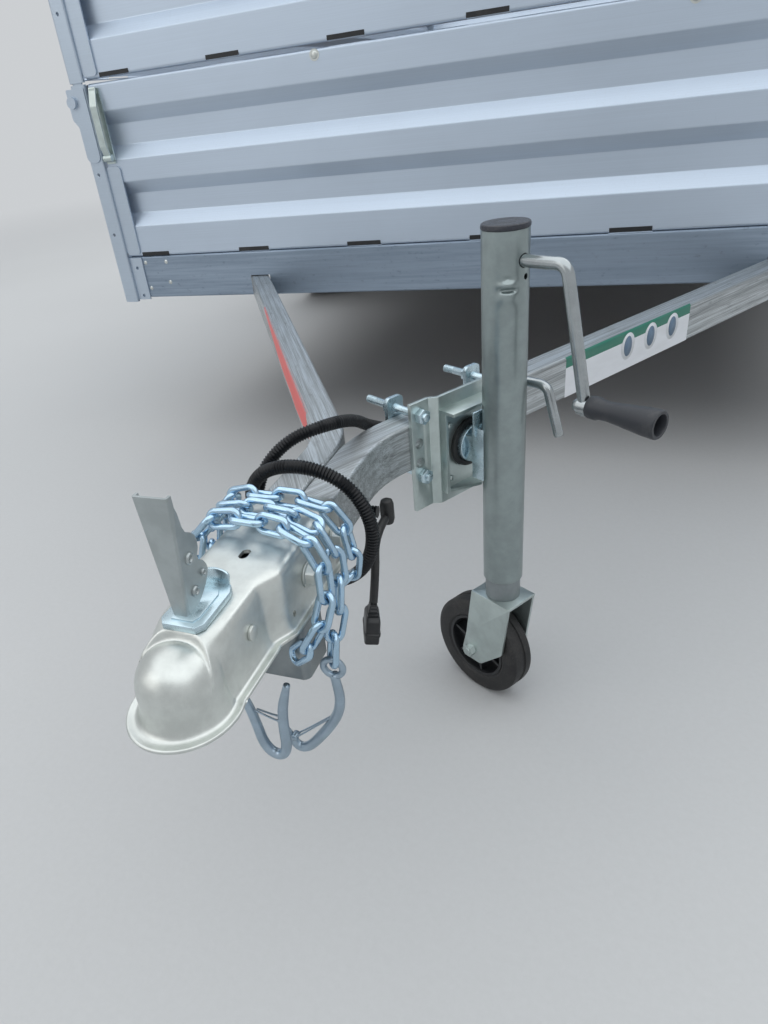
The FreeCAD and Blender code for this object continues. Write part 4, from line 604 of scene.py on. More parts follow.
# %% Coupler outline
DOME_R, DOME_Y, DOME_Z = 36.0, 6.0, 398.0
NECK_HALF, TAIL_HALF, DECK_Z, TAIL_Y = 33.5, 45.0, 440.5, 247.0
TAIL_FLANGE, SQUIRCLE = 12.6, 2.4


def smooth_step(value, low, high):
    """0 below low, 1 above high."""
    t = min(1.0, max(0.0, (value - low) / (high - low)))
    return t * t * (3 - 2 * t)


def wall_half(y):
    """Half the width between the outer walls."""
    neck = NECK_HALF + (TAIL_HALF - NECK_HALF) * smooth_step(y, 90, 118)
    return max(neck, math.sqrt(max(0.0, DOME_R ** 2 - (y - DOME_Y) ** 2)))


def top_height(x, y, half):
    """Height of the upper surface: the higher of dome and deck, eased where they meet."""
    ball = math.hypot(x, y - DOME_Y) / DOME_R
    dome = DOME_Z - 40
    if ball < 1.001:
        dome = DOME_Z + DOME_R * max(0.0, 1 - ball ** SQUIRCLE) ** (1 / SQUIRCLE)
    crisp = 2.5 + 6.5 * smooth_step(y, 10, 58)
    deck = DOME_Z + (DECK_Z - DOME_Z) * (1 - min(1.0, abs(x) / half) ** crisp) ** (1 / crisp)
    deck = min(deck, DECK_Z - 2.2 * (23 - x * x / 130 - y))
    return (dome + deck + math.sqrt((dome - deck) ** 2 + 1.5)) / 2


def coupler_stations():
    """Wall point, outward direction, ridge point and flange width, from tail round the nose to tail."""
    rows = []
    ys = [TAIL_Y - 3.0 * k for k in range(34)] + [145 - 1.25 * k for k in range(int(139 / 1.25) + 1)]
    for side, run in ((1, ys), (-1, ys[::-1])):
        for y in run:
            slope = (wall_half(y + 0.5) - wall_half(y - 0.5)) if y > DOME_Y + 1 else 0.0
            out = Vector((side, -slope, 0)).normalized()
            flange = TAIL_FLANGE - 3.4 * smooth_step(y, 80, 125)
            rows.append(((side * wall_half(y), y), out, (0, y), flange))
        if side == 1:
            for k in range(1, 64):
                a = math.pi * k / 64
                out = Vector((math.cos(a), -math.sin(a), 0))
                spot = (DOME_R * out.x, DOME_Y + DOME_R * out.y)
                rows.append((spot, out, (0, DOME_Y), TAIL_FLANGE + 3.2 * math.sin(a) ** 2))
    return rows


print("stations round the coupler:", len(coupler_stations()))

# %% Coupler skin
FLANGE = [(1.0, 375.2), (1.02, 376.3), (1.0, 377.5), (0.95, 378.1), (0.86, 377.9), (0.72, 377.3),
          (0.55, 377.0), (0.42, 377.2), (0.30, 378.3), (0.19, 381.0), (0.10, 385.0), (0.04, 389.6),
          (0.0, 394.0)]
SHEET_THICK, CLIMB_STEPS = 0.0036, 30


def baked(piece):
    """Applies a piece's modifiers for good."""
    bpy.context.view_layer.update()
    done = piece.evaluated_get(bpy.context.evaluated_depsgraph_get())
    mesh = bpy.data.meshes.new_from_object(done)
    piece.modifiers.clear()
    piece.data = mesh
    return piece


def prism(name, outline, low, high, across):
    """A straight-sided solid on an outline; across turns (a, b, height) into a place."""
    rings = [[across(a, b, h) for a, b in outline] for h in (low, high)]
    return tidy(loft(name, rings))


def stadium(width, length):
    """A slot's outline, its ends round."""
    r, points = width / 2, []
    for start, middle in ((0, length / 2 - r), (math.pi, r - length / 2)):
        angles = [start + math.pi * k / 12 for k in range(13)]
        points += [(r * math.cos(t), middle + r * math.sin(t)) for t in angles]
    return points


def cut_holes(piece, *cutters):
    """Cuts closed shapes out of a piece."""
    for cutter in cutters:
        knife = piece.modifiers.new("hole", "BOOLEAN")
        knife.object = cutter
        knife.solver = "EXACT"
    baked(piece)
    for cutter in cutters:
        bpy.data.objects.remove(cutter)
    return piece


def coupler_skin():
    """The drawn sheet with its holes."""
    columns = []
    for (x, y), out, (rx, ry), flange in coupler_stations():
        column = [at(x + out.x * o * flange, y + out.y * o * flange, z) for o, z in FLANGE]
        half = wall_half(y) if y > DOME_Y else DOME_R
        for k in range(CLIMB_STEPS + 1):
            q = math.cos(math.pi / 2 * k / CLIMB_STEPS)
            px, py = rx + (x - rx) * q, ry + (y - ry) * q
            column.append(at(px, py, top_height(px, py, half)))
        columns.append(column)
    skin = tidy(loft("coupler_skin", columns, around=False, ends=False))
    apex = max(skin.data.vertices, key=lambda v: v.co.z)
    if apex.normal.z < 0:
        skin.data.flip_normals()
    wall = skin.modifiers.new("sheet", "SOLIDIFY")
    wall.thickness = SHEET_THICK
    wall.offset = -1
    oval = prism("oval", [(a - 0.5, b + 134) for a, b in stadium(9, 15)], 425, 450, at)
    round_hole = [(124 + a, 388 + b) for a, b in stadium(6, 6.2)]
    bore = prism("side_hole", round_hole, -80, 80, lambda a, b, h: at(h, a, b))
    return tidy(cut_holes(baked(skin), oval, bore), 60)


own(coupler_skin(), SATIN, "coupler_shell")

# %% [markdown]
# ## Recipes for repeated things
# Links, bolt heads, tread blocks and wheel nuts are each one shape met again and again. Geometry Nodes copy
# such a shape onto a set of points, each point carrying the turn of its copy. A recipe below is a tree with
# named sizes. Its result is made a plain mesh at once, so what is exported holds no instances.

# %% Recipe helpers
class Recipe:
    """A Geometry Nodes tree with named sizes, written in a few lines."""

    def __init__(self, name, **sizes):
        self.tree = bpy.data.node_groups.new(name, "GeometryNodeTree")
        face = self.tree.interface
        face.new_socket("Geometry", in_out="INPUT", socket_type="NodeSocketGeometry")
        self.labels = {}
        for label, value in sizes.items():
            socket = face.new_socket(label.replace("_", " "), in_out="INPUT", socket_type="NodeSocketFloat")
            socket.default_value = value
            self.labels[label] = socket.identifier
        paint = face.new_socket("Finish", in_out="INPUT", socket_type="NodeSocketMaterial")
        self.labels["finish"] = paint.identifier
        face.new_socket("Geometry", in_out="OUTPUT", socket_type="NodeSocketGeometry")
        self.inlet = self.tree.nodes.new("NodeGroupInput")

    def feed(self, socket, value):
        """Sets a socket to a number, or links another node's output to it."""
        if isinstance(value, bpy.types.NodeSocket):
            self.tree.links.new(value, socket)
        else:
            socket.default_value = value

    def add(self, kind, settings=None, **values):
        """Adds a node and returns its first output."""
        made = self.tree.nodes.new(kind)
        for key, value in (settings or {}).items():
            setattr(made, key, value)
        for key, value in values.items():
            self.feed(made.inputs[key.replace("_", " ")], value)
        return made.outputs[0]

    def vector(self, **parts):
        """A vector from its X, Y and Z."""
        return self.add("ShaderNodeCombineXYZ", **parts)

    def maths(self, operation, first, second):
        """Adds a Math node on two values."""
        result = self.add("ShaderNodeMath", {"operation": operation})
        self.feed(result.node.inputs[0], first)
        self.feed(result.node.inputs[1], second)
        return result

    def joined(self, *shapes):
        """Several shapes as one."""
        both = self.add("GeometryNodeJoinGeometry")
        for shape in shapes:
            self.tree.links.new(shape, both.node.inputs[0])
        return both

    def size(self, label):
        """A named size of the recipe."""
        return self.inlet.outputs[label.replace("_", " ")]

    def done(self, shape):
        """Copies the shape onto the points and closes the tree."""
        turn = self.add("GeometryNodeInputNamedAttribute", {"data_type": "QUATERNION"}, Name="turn")
        spots = self.inlet.outputs["Geometry"]
        copies = self.add("GeometryNodeInstanceOnPoints", Points=spots, Instance=shape, Rotation=turn)
        real = self.add("GeometryNodeRealizeInstances", Geometry=copies)
        painted = self.add("GeometryNodeSetMaterial", Geometry=real, Material=self.inlet.outputs["Finish"])
        outlet = self.tree.nodes.new("NodeGroupOutput")
        self.tree.links.new(painted, outlet.inputs[0])
        return self


def turn_of(*axes):
    """The turn that lays X, Y and Z along three axes."""
    return Matrix(axes).transposed().to_quaternion()


def grown(name, recipe, places, turns, finish, **sizes):
    """One plain mesh of the recipe's shape at each place."""
    piece = mesh_piece(name, places, [], False)
    turned_by = piece.data.attributes.new("turn", "QUATERNION", "POINT")
    for spot, turn in zip(turned_by.data, turns):
        spot.value = turn
    modifier = piece.modifiers.new("copies", "NODES")
    modifier.node_group = recipe.tree
    modifier[recipe.labels["finish"]] = finish
    for label, value in sizes.items():
        modifier[recipe.labels[label]] = value
    return tidy(baked(piece), 40, outward=False)


def facing_turn(direction):
    """The turn that points a shape's Z along a direction, its X level."""
    z = Vector(direction).normalized()
    x = Vector((0, 0, 1)).cross(z)
    x = x.normalized() if x.length > 1e-6 else z.orthogonal().normalized()
    return turn_of(x, z.cross(x), z)


print("recipe class ready")

# %% [markdown]
# ## Safety chains
# Two lengths of welded chain, wound round the coupler for parking. A link is a round wire bent to a slot
# shape, and each one hangs in the next a quarter turn round. The frame's chain has the right links in plain
# form, so the place and turn of each is read from there, and one smooth link is grown at each of them.

# %% Chain links
def islands(node):
    """Groups of corner points, one for each separate body of a solid's mesh."""
    form = bmesh.new()
    form.from_mesh(NODES[node].data)
    bmesh.ops.remove_doubles(form, verts=form.verts, dist=1e-5)
    left, groups = set(form.verts), []
    for seed in form.verts:
        if seed in left:
            group, queue = [], [seed]
            left.discard(seed)
            while queue:
                corner = queue.pop()
                group.append(tuple(corner.co))
                for edge in corner.link_edges:
                    other = edge.other_vert(corner)
                    if other in left:
                        left.discard(other)
                        queue.append(other)
            groups.append(np.array(group))
    form.free()
    return groups


def spread(points):
    """Three axes of a body's points, from the narrowest to the longest."""
    _, vectors = np.linalg.eigh(np.cov((points - points.mean(0)).T))
    return [Vector(vectors[:, k]) for k in range(3)]


def main_axes(points):
    """Middle, long axis, wide axis and the sizes along those two axes of a body."""
    _, wide_axis, long_axis = spread(points)
    spans = [np.ptp(points @ np.array(a)) for a in (long_axis, wide_axis)]
    centre = Vector((points.max(0) + points.min(0)) / 2)
    for a in (long_axis, wide_axis, long_axis.cross(wide_axis)):
        reach = points @ np.array(a)
        centre += a * ((reach.max() + reach.min()) / 2 - centre.dot(a))
    return centre, long_axis, wide_axis, spans


def link_recipe():
    """A slot-shaped loop of round wire, long along X and wide along Y."""
    r = Recipe("welded_link", Length=0.034, Width=0.015, Wire=0.003)
    loop = r.add("GeometryNodeCurvePrimitiveQuadrilateral", Width=r.size("Length"), Height=r.size("Width"))
    bend = r.maths("MULTIPLY", r.size("Width"), 0.495)
    fillet = r.add("GeometryNodeFilletCurve", {"mode": "POLY"}, Curve=loop, Count=7, Radius=bend)
    wire = r.add("GeometryNodeCurvePrimitiveCircle", Resolution=10, Radius=r.size("Wire"))
    body = r.add("GeometryNodeCurveToMesh", Curve=fillet, Profile_Curve=wire)
    smooth = r.add("GeometryNodeSetShadeSmooth")
    r.feed(smooth.node.inputs[0], body)
    return r.done(smooth)


links = [main_axes(group) for group in islands("safety_chains")]
outer = [max(size) for size in zip(*(spans for *_, spans in links))]
LINK_WIRE = 0.0033
link_long, link_wide = outer[0] - 2 * LINK_WIRE + 0.0008, outer[1] - 2 * LINK_WIRE + 0.0014
chain_links = grown("chain_links", link_recipe(), [c for c, *_ in links],
                    [turn_of(a, b, a.cross(b)) for _, a, b, _ in links], BRIGHT_BLUE,
                    Length=link_long, Width=link_wide, Wire=LINK_WIRE)
own(chain_links, BRIGHT_BLUE, "safety_chains")
print("links:", len(links), "outside", [round(v * 1000, 1) for v in outer], "mm")

# %% [markdown]
# ## The loom
# Split conduit is a soft plastic tube with ribs every three millimetres. The ribs are rings of two sizes in
# turn, carried along the curve drawn above. The last part of the loom is plain round cable.

# %% Conduit and cable
def ribbed(name, line, radius, pitch, depth):
    """A tube with square-shouldered ribs."""
    points, _ = spaced(line, pitch / 4)
    radii = [(radius, radius, radius - depth, radius - depth)[k % 4] for k in range(len(points))]
    return tidy(bar(name, points, radii, 14), 50)


CONDUIT_R, RIB_PITCH, RIB_DEPTH = 0.0075, 0.0034, 0.0011
ribs = ribbed("conduit_ribs", conduit_line, CONDUIT_R, RIB_PITCH, RIB_DEPTH)
conduit = own(ribs, CONDUIT_PLASTIC, "loom_conduit")
own(cable, BLOCK_RUBBER, "loom_cable")
bpy.data.objects.remove(bpy.data.objects["conduit_line"])
at(552, 1492, 460)
at(57, 350, 357)
print("conduit faces:", len(conduit.data.polygons))

# %% [markdown]
# ## The coupler's latch
# A folded steel seat is bolted over the deck. The latch lever stands in it: a tapered channel with two lobed
# cheeks riveted inside. The seat is a plate with cut corners, a raised middle, and a back turned up in a half
# disc. The lever is lofted upwards from its cross-section, and the cheeks are flat plates.

# %% Plates and rivets
def softened(piece, width, segments=2, angle=40):
    """Rounds a piece's sharp edges."""
    edge = piece.modifiers.new("edges", "BEVEL")
    edge.width = width
    edge.segments = segments
    edge.limit_method = "ANGLE"
    edge.angle_limit = math.radians(angle)
    return tidy(baked(piece), 35)


def merged(name, *pieces):
    """Several pieces as one."""
    form = bmesh.new()
    for piece in pieces:
        form.from_mesh(piece.data)
        bpy.data.objects.remove(piece)
    mesh = bpy.data.meshes.new(name)
    form.to_mesh(mesh)
    form.free()
    return link_in(bpy.data.objects.new(name, mesh))


SEAT = [(-15, 21), (15, 21), (20, 28), (20, 70), (16, 80), (9, 86), (0, 87), (-9, 86), (-16, 80), (-20, 70),
        (-20, 28)]


def latch_seat():
    """Skirt, top plate, raised middle and the turned-up back."""
    plate = prism("seat_plate", SEAT, 440.4, 446.6, at)
    raised = [(-10, 27), (10, 27), (13, 34), (13, 64), (9, 72), (-9, 72), (-13, 64), (-13, 34)]
    middle = prism("seat_middle", raised, 446.0, 448.2, at)
    disc = [(-14, 446), (14, 446)] + circle(20, 14, 0, 453, 6)[:10] + [(-14, 453)]
    back = prism("seat_back", disc, 80.0, 82.5, lambda a, b, h: at(a, h + (b - 446) * 0.25, b))
    return merged("latch_seat", softened(plate, 0.0008), softened(middle, 0.0006), softened(back, 0.0006))


LEVER_FOOT, LEVER_TALL = 441, 114


def lever_side(side, z):
    """Where the lever's outer side stands at a height: it is wider at the top."""
    share = (z - LEVER_FOOT) / LEVER_TALL
    return 2.8 + 10.5 * share if side > 0 else -9.5 - 7.5 * share


def lever_channel():
    """The tapered channel: a flat front whose sides are turned back, t thick with corners cut by c."""
    rings = []
    t, c = 2.3, 1.6
    for share in (0.0, 0.03, 0.25, 0.5, 0.75, 0.97, 1.0):
        z = LEVER_FOOT + LEVER_TALL * share
        left, right = lever_side(-1, z), lever_side(1, z)
        deep = 37 + 6.5 * min(1.0, 2.2 * (1 - share))
        ring = [(left, deep), (left, 31 + c), (left + c * 0.3, 31 + c * 0.3), (left + c, 31), (right - c, 31),
                (right - c * 0.3, 31 + c * 0.3), (right, 31 + c), (right, deep), (right - t, deep),
                (right - t, 31 + t), (left + t, 31 + t), (left + t, deep)]
        rings.append([at(x, y, z) for x, y in ring])
    return tidy(loft("lever_channel", rings), 30)


CHEEK = [(34, 443), (34, 520), (36, 540), (38, 546), (41, 538), (44, 524), (47, 518), (53, 514), (58, 509),
         (60, 503), (60, 496), (57, 490), (59, 485), (64, 481), (68, 475), (69, 470), (67, 465), (62, 458),
         (54, 451), (46, 446), (38, 443)]


def ring_rivet(name, side, y, z, radius):
    """A hollow rivet's rolled rim, standing on a cheek."""
    lip = [(0.0, radius), (1.6, radius * 0.96), (2.2, radius * 0.8), (2.0, radius * 0.62),
           (0.6, radius * 0.5), (-0.8, radius * 0.42), (-0.8, 0.05)]
    return turned(name, metres(lip), at(lever_side(side, z) + 0.2 * side, y, z), (side, 0, 0.09 * -side), 20)


def latch_lever():
    """Channel, two lobed cheeks and their rivets."""
    parts = [lever_channel()]
    for side in (1, -1):
        cheek = prism("cheek", CHEEK, 0.2, -2.4, lambda a, b, h: at(lever_side(side, b) + h * side, a, b))
        parts.append(softened(cheek, 0.0005, 1))
        for y, z, radius in ((45.5, 495, 5.0), (46.5, 463, 4.6), (60.5, 472, 3.0)):
            parts.append(ring_rivet("lever_rivet", side, y, z, radius))
    return merged("latch_lever_piece", *parts)


own(latch_seat(), PALE_BLUE, "coupler_cap")
own(latch_lever(), LEVER_ZINC, "coupler_lever")
print("lever and seat made")

# %% [markdown]
# ## Pressed and forged hardware
# Plates, nuts and brackets come from the frame with knife-sharp edges, and no real plate has those. A copy
# of the solid's mesh is merged, its flat areas are made single faces again, and a narrow bevel then catches
# the light on each edge.

# %% Softened copies
def softened_copy(node, width, finish, cutters):
    """A bevelled copy of a solid, with extra holes, standing for it."""
    piece = link_in(bpy.data.objects.new(node + "_soft", NODES[node].data.copy()))
    form = bmesh.new()
    form.from_mesh(piece.data)
    bmesh.ops.remove_doubles(form, verts=form.verts, dist=1e-5)
    bmesh.ops.dissolve_limit(form, angle_limit=math.radians(1.0), verts=form.verts, edges=form.edges)
    form.to_mesh(piece.data)
    form.free()
    piece = softened(piece, width, angle=42)
    if cutters:
        piece = tidy(cut_holes(piece, *cutters), 35)
    return own(piece, finish, node)


def plate_cutters():
    """Round cutters for the two big holes at each end of the mount's plate."""
    return [prism("plate_hole", circle(24, 6.6, y, z), 10, 30, across_jack)
            for y in (-73, 73) for z in (385, 411)]


SOFTENED = {
    "coupler_bolts": (0.0005, SATIN), "jack_clamps": (0.0004, PALE_BLUE), "jack_swivel": (0.0008, PALE_BLUE),
    "jack_fork": (0.0005, MOUNT_ZINC), "chain_plate": (0.0006, LEG_ZINC),
    "lamp_housings": (0.003, BLACK_PLASTIC), "plate_holder": (0.001, BLACK_PLASTIC),
    "jack_mount": (0.0009, MOUNT_ZINC)}
for node, (width, finish) in SOFTENED.items():
    cutters = plate_cutters() if node == "jack_mount" else []
    soft = softened_copy(node, width, finish, cutters)
    print(node, len(soft.data.polygons), end="; ")
print()

# %% [markdown]
# ### Two forged hooks
# Each chain ends in a forged hook: a round bar bent to a mouth, an eye for the last link, and a spring wire
# that closes the mouth. Cutting a line's corners again and again rounds it the way a bar bends, and the bar's
# radius swells in the bend and thins to the tip.

# %% Chain hooks
def eased(points, rounds=4):
    """Cuts a line's corners until they are round."""
    points = [Vector(p) for p in points]
    for _ in range(rounds):
        cut = [points[0]]
        for a, b in zip(points, points[1:]):
            cut += [a.lerp(b, 0.25), a.lerp(b, 0.75)]
        points = cut + [points[-1]]
    return points


def eye_ring(name, centre, normal, radius, wire):
    """A closed ring of round bar."""
    around = [2 * math.pi * k / 12 for k in range(13)]
    profile = [(wire * math.sin(a), radius + wire * math.cos(a)) for a in around]
    return turned(name, profile, centre, normal, 32)


def forged_hook(eye, bends, latch_from, latch_to):
    """Hook bar, eye and spring latch; bends are sideways and down from the eye's middle."""
    ex, ey, ez = eye
    line, _ = spaced(eased([at(ex + u, ey, ez - v) for u, v in bends]), 0.0035)
    count = len(line)
    radii = [0.0046 + 0.0011 * math.sin(math.pi * k / count) - 0.0012 * smooth_step(k, count - 9, count)
             for k in range(count)]
    bow, across = Vector((0, -0.006, 0)), (0, 1, 0)
    parts = [bar("hook_bar", line, radii, 14), eye_ring("hook_eye", at(ex, ey, ez), across, 0.0100, 0.0035)]
    for side in (-3.2, 3.2):
        start = at(latch_from[0], ey + side, latch_from[1])
        end = at(latch_to[0], ey + side * 0.4, latch_to[1])
        wire_line = eased([start, start.lerp(end, 0.3) + bow * 0.2, end], 2)
        parts.append(bar("latch_wire", wire_line, 0.0010, 8))
    pin = metres([(-5.2, 0.0), (-5.0, 3.0), (-4.2, 4.0), (4.2, 4.0), (5.0, 3.0), (5.2, 0.0)])
    parts.append(turned("latch_pin", pin, at(latch_from[0], ey, latch_from[1]), across, 20))
    return parts


FRONT_BENDS = [(0, 8), (8, 37), (14, 88), (40, 90), (41, 28), (54, -14)]
REAR_BENDS = [(0, 8), (4, 50), (-16, 88), (-52, 134), (-68, 98)]
front_parts = forged_hook((-21.9, 107.9, 297.0), FRONT_BENDS, (19.5, 262), (-9, 268))
rear_parts = forged_hook((71.0, 133.9, 319.1), REAR_BENDS, (14, 210), (60, 250))
own(merged("forged_hooks", *front_parts, *rear_parts), FORGED, "chain_hooks")
print("hooks: 2")

# %% [markdown]
# ## Jack details
# The jack's wheel turns on a plain bolt and has spokes moulded in black plastic under a rubber tread. The
# crank ends in a plastic sleeve that is turned from one profile, slim in the middle and wider at its end.

# %% Jockey wheel
def corners_of(node):
    """All the mesh corners of a solid."""
    return np.array([v.co for v in NODES[node].data.vertices])


def wheel_frame(node):
    """Centre, axle direction and half width of a wheel's solid."""
    points = corners_of(node)
    axle = spread(points)[0]
    if axle.x < 0:
        axle.negate()
    centre = Vector((points.max(0) + points.min(0)) / 2)
    reach = points @ np.array(axle)
    return centre, axle, (reach.max() - reach.min()) / 2


hub, axle, half = wheel_frame("jockey_tyre")
from_hub = [Vector(v.co) - hub for v in NODES["jockey_tyre"].data.vertices]
outer_r = max((way - axle * way.dot(axle)).length for way in from_hub)
shoulder = [(-half + 0.002, 0.0502), (-half, 0.0535), (-half, outer_r - 0.008),
            (-half + 0.0012, outer_r - 0.0035), (-half + 0.004, outer_r - 0.0006), (-half + 0.0068, outer_r)]
groove = [(-0.0042, outer_r), (-0.0034, outer_r - 0.0016), (0.0034, outer_r - 0.0016), (0.0042, outer_r)]
tread = shoulder + groove + [(-a, r) for a, r in reversed(shoulder)] + [(half - 0.002, 0.0502), shoulder[0]]
own(tidy(turned("jockey_tread", tread, hub, axle, 96), 30), JOCKEY_RUBBER, "jockey_tyre")


def spoke_recipe():
    """A tapered spoke along X, ribbed thin across Z."""
    r = Recipe("moulded_spoke", Length=0.03, Thick=0.006, Wide=0.022)
    sizes = r.vector(X=r.size("Length"), Y=r.size("Thick"), Z=r.size("Wide"))
    block = r.add("GeometryNodeMeshCube", Size=sizes, Vertices_X=4, Vertices_Y=3, Vertices_Z=3)
    parts = r.add("ShaderNodeSeparateXYZ", Vector=r.add("GeometryNodeInputPosition"))
    slim = r.add("ShaderNodeMapRange", Value=parts, From_Min=-0.016, From_Max=0.016, To_Min=0.25, To_Max=-0.3)
    push = r.vector(Y=r.maths("MULTIPLY", parts.node.outputs[1], slim))
    return r.done(r.add("GeometryNodeSetPosition", Geometry=block, Offset=push))


def ring_line(steps):
    """A ring's closed profile from half of it; steps are (in from the wheel's side, radius)."""
    return [(-half + a, r) for a, r in steps] + [(half - a, r) for a, r in reversed(steps)] + [
        (-half + steps[0][0], steps[0][1])]


side_u = axle.orthogonal().normalized()
side_v = axle.cross(side_u)
ways = [side_u * c + side_v * s for c, s in circle(6, 1.0)]
spoke_turns = [turn_of(out, axle.cross(out), axle) for out in ways]
spokes = grown("jockey_spokes", spoke_recipe(), [hub + out * 0.031 for out in ways], spoke_turns,
               BLACK_PLASTIC, Length=0.032, Thick=0.005, Wide=half * 1.5)
core_rim = turned("core_rim", ring_line([(0.0015, 0.0498), (0.0015, 0.0455), (0.005, 0.044)]), hub, axle, 96)
core_hub = turned("core_hub", ring_line([(0.001, 0.0066), (0.001, 0.0155), (0.002, 0.0168)]), hub, axle, 48)
own(tidy(merged("jockey_wheel_core", spokes, core_rim, core_hub), 35), BLACK_PLASTIC, "jockey_core")
print("jockey wheel radius", round(outer_r * 1000, 1), "mm, width", round(half * 2000, 1), "mm")

# %% Crank grip
def grip_frame():
    """One end, direction and length of the grip's solid."""
    centre, along, _, (length, _) = main_axes(corners_of("crank_grip"))
    tube = by_jack(95, 0, 480)
    if (centre + along * length / 2 - tube).length < (centre - along * length / 2 - tube).length:
        along = -along
    return centre - along * length / 2, along, length


start, along, reach = grip_frame()
GRIP = [(0.0, 0.0085), (0.0, 0.0118), (0.03, 0.0128), (0.13, 0.0128), (0.17, 0.0112), (0.30, 0.0108),
        (0.45, 0.0121), (0.62, 0.0136), (0.80, 0.0152), (0.95, 0.0159), (0.985, 0.0157), (1.0, 0.0148),
        (1.0, 0.0118), (0.985, 0.0112), (0.86, 0.0106), (0.84, 0.0)]
GRIP_START, GRIP_SHARE, GRIP_SLIM = 0.002, 0.735, 0.94
grip_line = [(GRIP_START + a * reach * GRIP_SHARE, r * GRIP_SLIM) for a, r in GRIP]
own(tidy(turned("grip_sleeve", grip_line, start, along, 48), 32), GRIP_PLASTIC, "crank_grip")
print("grip length", round(reach * 1000, 1), "mm")

# %% [markdown]
# ## Label and paint
# The right tube carries a label: a green band over a pale field with three plain ovals. The left tube has a
# long smear of red paint. Each is a skin a tenth of a millimetre or so thick, so it takes its own film finish
# and still follows the tube.

# %% Label and streak
TUBE_SIDE, TUBE_CORNER, CORNER_R = 20.02, 432.0, 4.0
LABEL_FROM, LABEL_TO = 214, 528


def right_side(a, z, out):
    """The right tube's outer side; above the corner the height is measured round the curve."""
    turn = max(0.0, z - TUBE_CORNER) / CORNER_R
    over = CORNER_R + out
    x, height = TUBE_SIDE - CORNER_R + over * math.cos(turn), min(z, TUBE_CORNER) + over * math.sin(turn)
    return by_jack(x, a, height)


def left_side(a, z, out):
    """The left tube's outer side, the mirror of the right one."""
    spot = right_side(a, z, out)
    return Vector((-spot.x, spot.y, spot.z))


def strip(name, heights, thick, finish):
    """A thin skin as long as the label, which may run on over the tube's rounded corner."""
    rings = [[right_side(LABEL_FROM, z, 0.0), right_side(LABEL_TO, z, 0.0), right_side(LABEL_TO, z, thick),
              right_side(LABEL_FROM, z, thick)] for z in heights]
    own(tidy(loft(name, rings), 40), finish, mate="drawbar_right")


def oval_film(name, middle, width, height, thick, finish):
    """A thin oval skin on the label."""
    outline = circle(28, width / 2, middle, 412.0, height / 2)
    rings = [[right_side(a, z, out) for a, z in outline] for out in (0.0, thick)]
    own(tidy(loft(name, rings)), finish, mate="drawbar_right")


strip("label_field", (377, 400, 420.5), 0.10, LABEL_WHITE)
strip("label_band", (420.5, 431.9, 433, 434.2, 435.4, 436.6), 0.11, LABEL_GREEN)
for k, middle in enumerate((362, 421, 480)):
    oval_film(f"label_oval_rim_{k + 1}", middle, 34, 41, 0.16, LABEL_WHITE)
    oval_film(f"label_oval_face_{k + 1}", middle, 20, 31, 0.20, OVAL_TONE)

random.seed(11)
bands = []
STREAK = ((-50, 34), (-20, 38), (10, 42), (50, 46), (110, 48), (170, 45), (230, 46), (290, 40), (350, 34),
          (410, 26), (470, 17), (520, 9), (558, 2))
for a, depth in STREAK:
    foot = 431.5 - depth * random.uniform(0.92, 1.06)
    heights = [foot, 431.5, 433.2, 435.0, 436.5 + min(1.0, depth / 20) * random.uniform(0.4, 1.6)]
    bands.append([left_side(a, z, 0.0) for z in heights] + [left_side(a, z, 0.06) for z in reversed(heights)])
own(tidy(loft("red_streak", bands), 40), RED_STREAK, mate="drawbar_left")
print("films: 9")

# %% [markdown]
# ## Fixings on the box
# Round-headed bolts hold the boards and blind rivets hold the beam's end plates. Flat black sheets on each
# board's front are painted shade: they stand for the dark gaps of the slots under it. They are all copies of
# three small shapes.

# %% Fixing recipes
def round_head():
    """A low round head on a washer."""
    r = Recipe("round_head_bolt", Radius=0.008, Height=0.004, Washer=0.0105)
    dome = r.add("GeometryNodeMeshUVSphere", Segments=14, Rings=8, Radius=r.size("Radius"))
    ratio = r.maths("DIVIDE", r.size("Height"), r.size("Radius"))
    low = r.add("GeometryNodeTransform", Geometry=dome, Scale=r.vector(X=1.0, Y=1.0, Z=ratio))
    disc = r.add("GeometryNodeMeshCylinder", Vertices=18, Radius=r.size("Washer"), Depth=0.0016)
    return r.done(r.joined(low, disc))


def rivet_head():
    """A blind rivet: a low cone with a flat top."""
    r = Recipe("blind_rivet", Radius=0.005)
    cone = r.add("GeometryNodeMeshCone", Vertices=14, Radius_Top=0.0028, Radius_Bottom=r.size("Radius"),
                 Depth=0.0018)
    return r.done(cone)


def slot_shade_tab():
    """A flat black sheet, long along X: painted shade for the dark gap of a slot."""
    r = Recipe("painted_slot_shade", Length=0.078, Height=0.0085)
    size = r.vector(X=r.size("Length"), Y=0.0016, Z=r.size("Height"))
    return r.done(r.add("GeometryNodeMeshCube", Size=size, Vertices_X=4))


ROUND_HEAD, RIVET, SLOT_SHADE = round_head(), rivet_head(), slot_shade_tab()
(_, front_face, low), (_, _, high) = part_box("front_board")
top_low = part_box("upper_front_board")[0][2]
forward_turn = facing_turn((0, -1, 0))
BOARD_TALL, BOLT_DOWN = 0.372, 0.0105


def on_front(x, z):
    """The first surface met at (x, z) by someone looking at the box from the front."""
    seen = bpy.context.evaluated_depsgraph_get()
    return bpy.context.scene.ray_cast(seen, (x, -1.6, z), (0, 1, 0))[1]


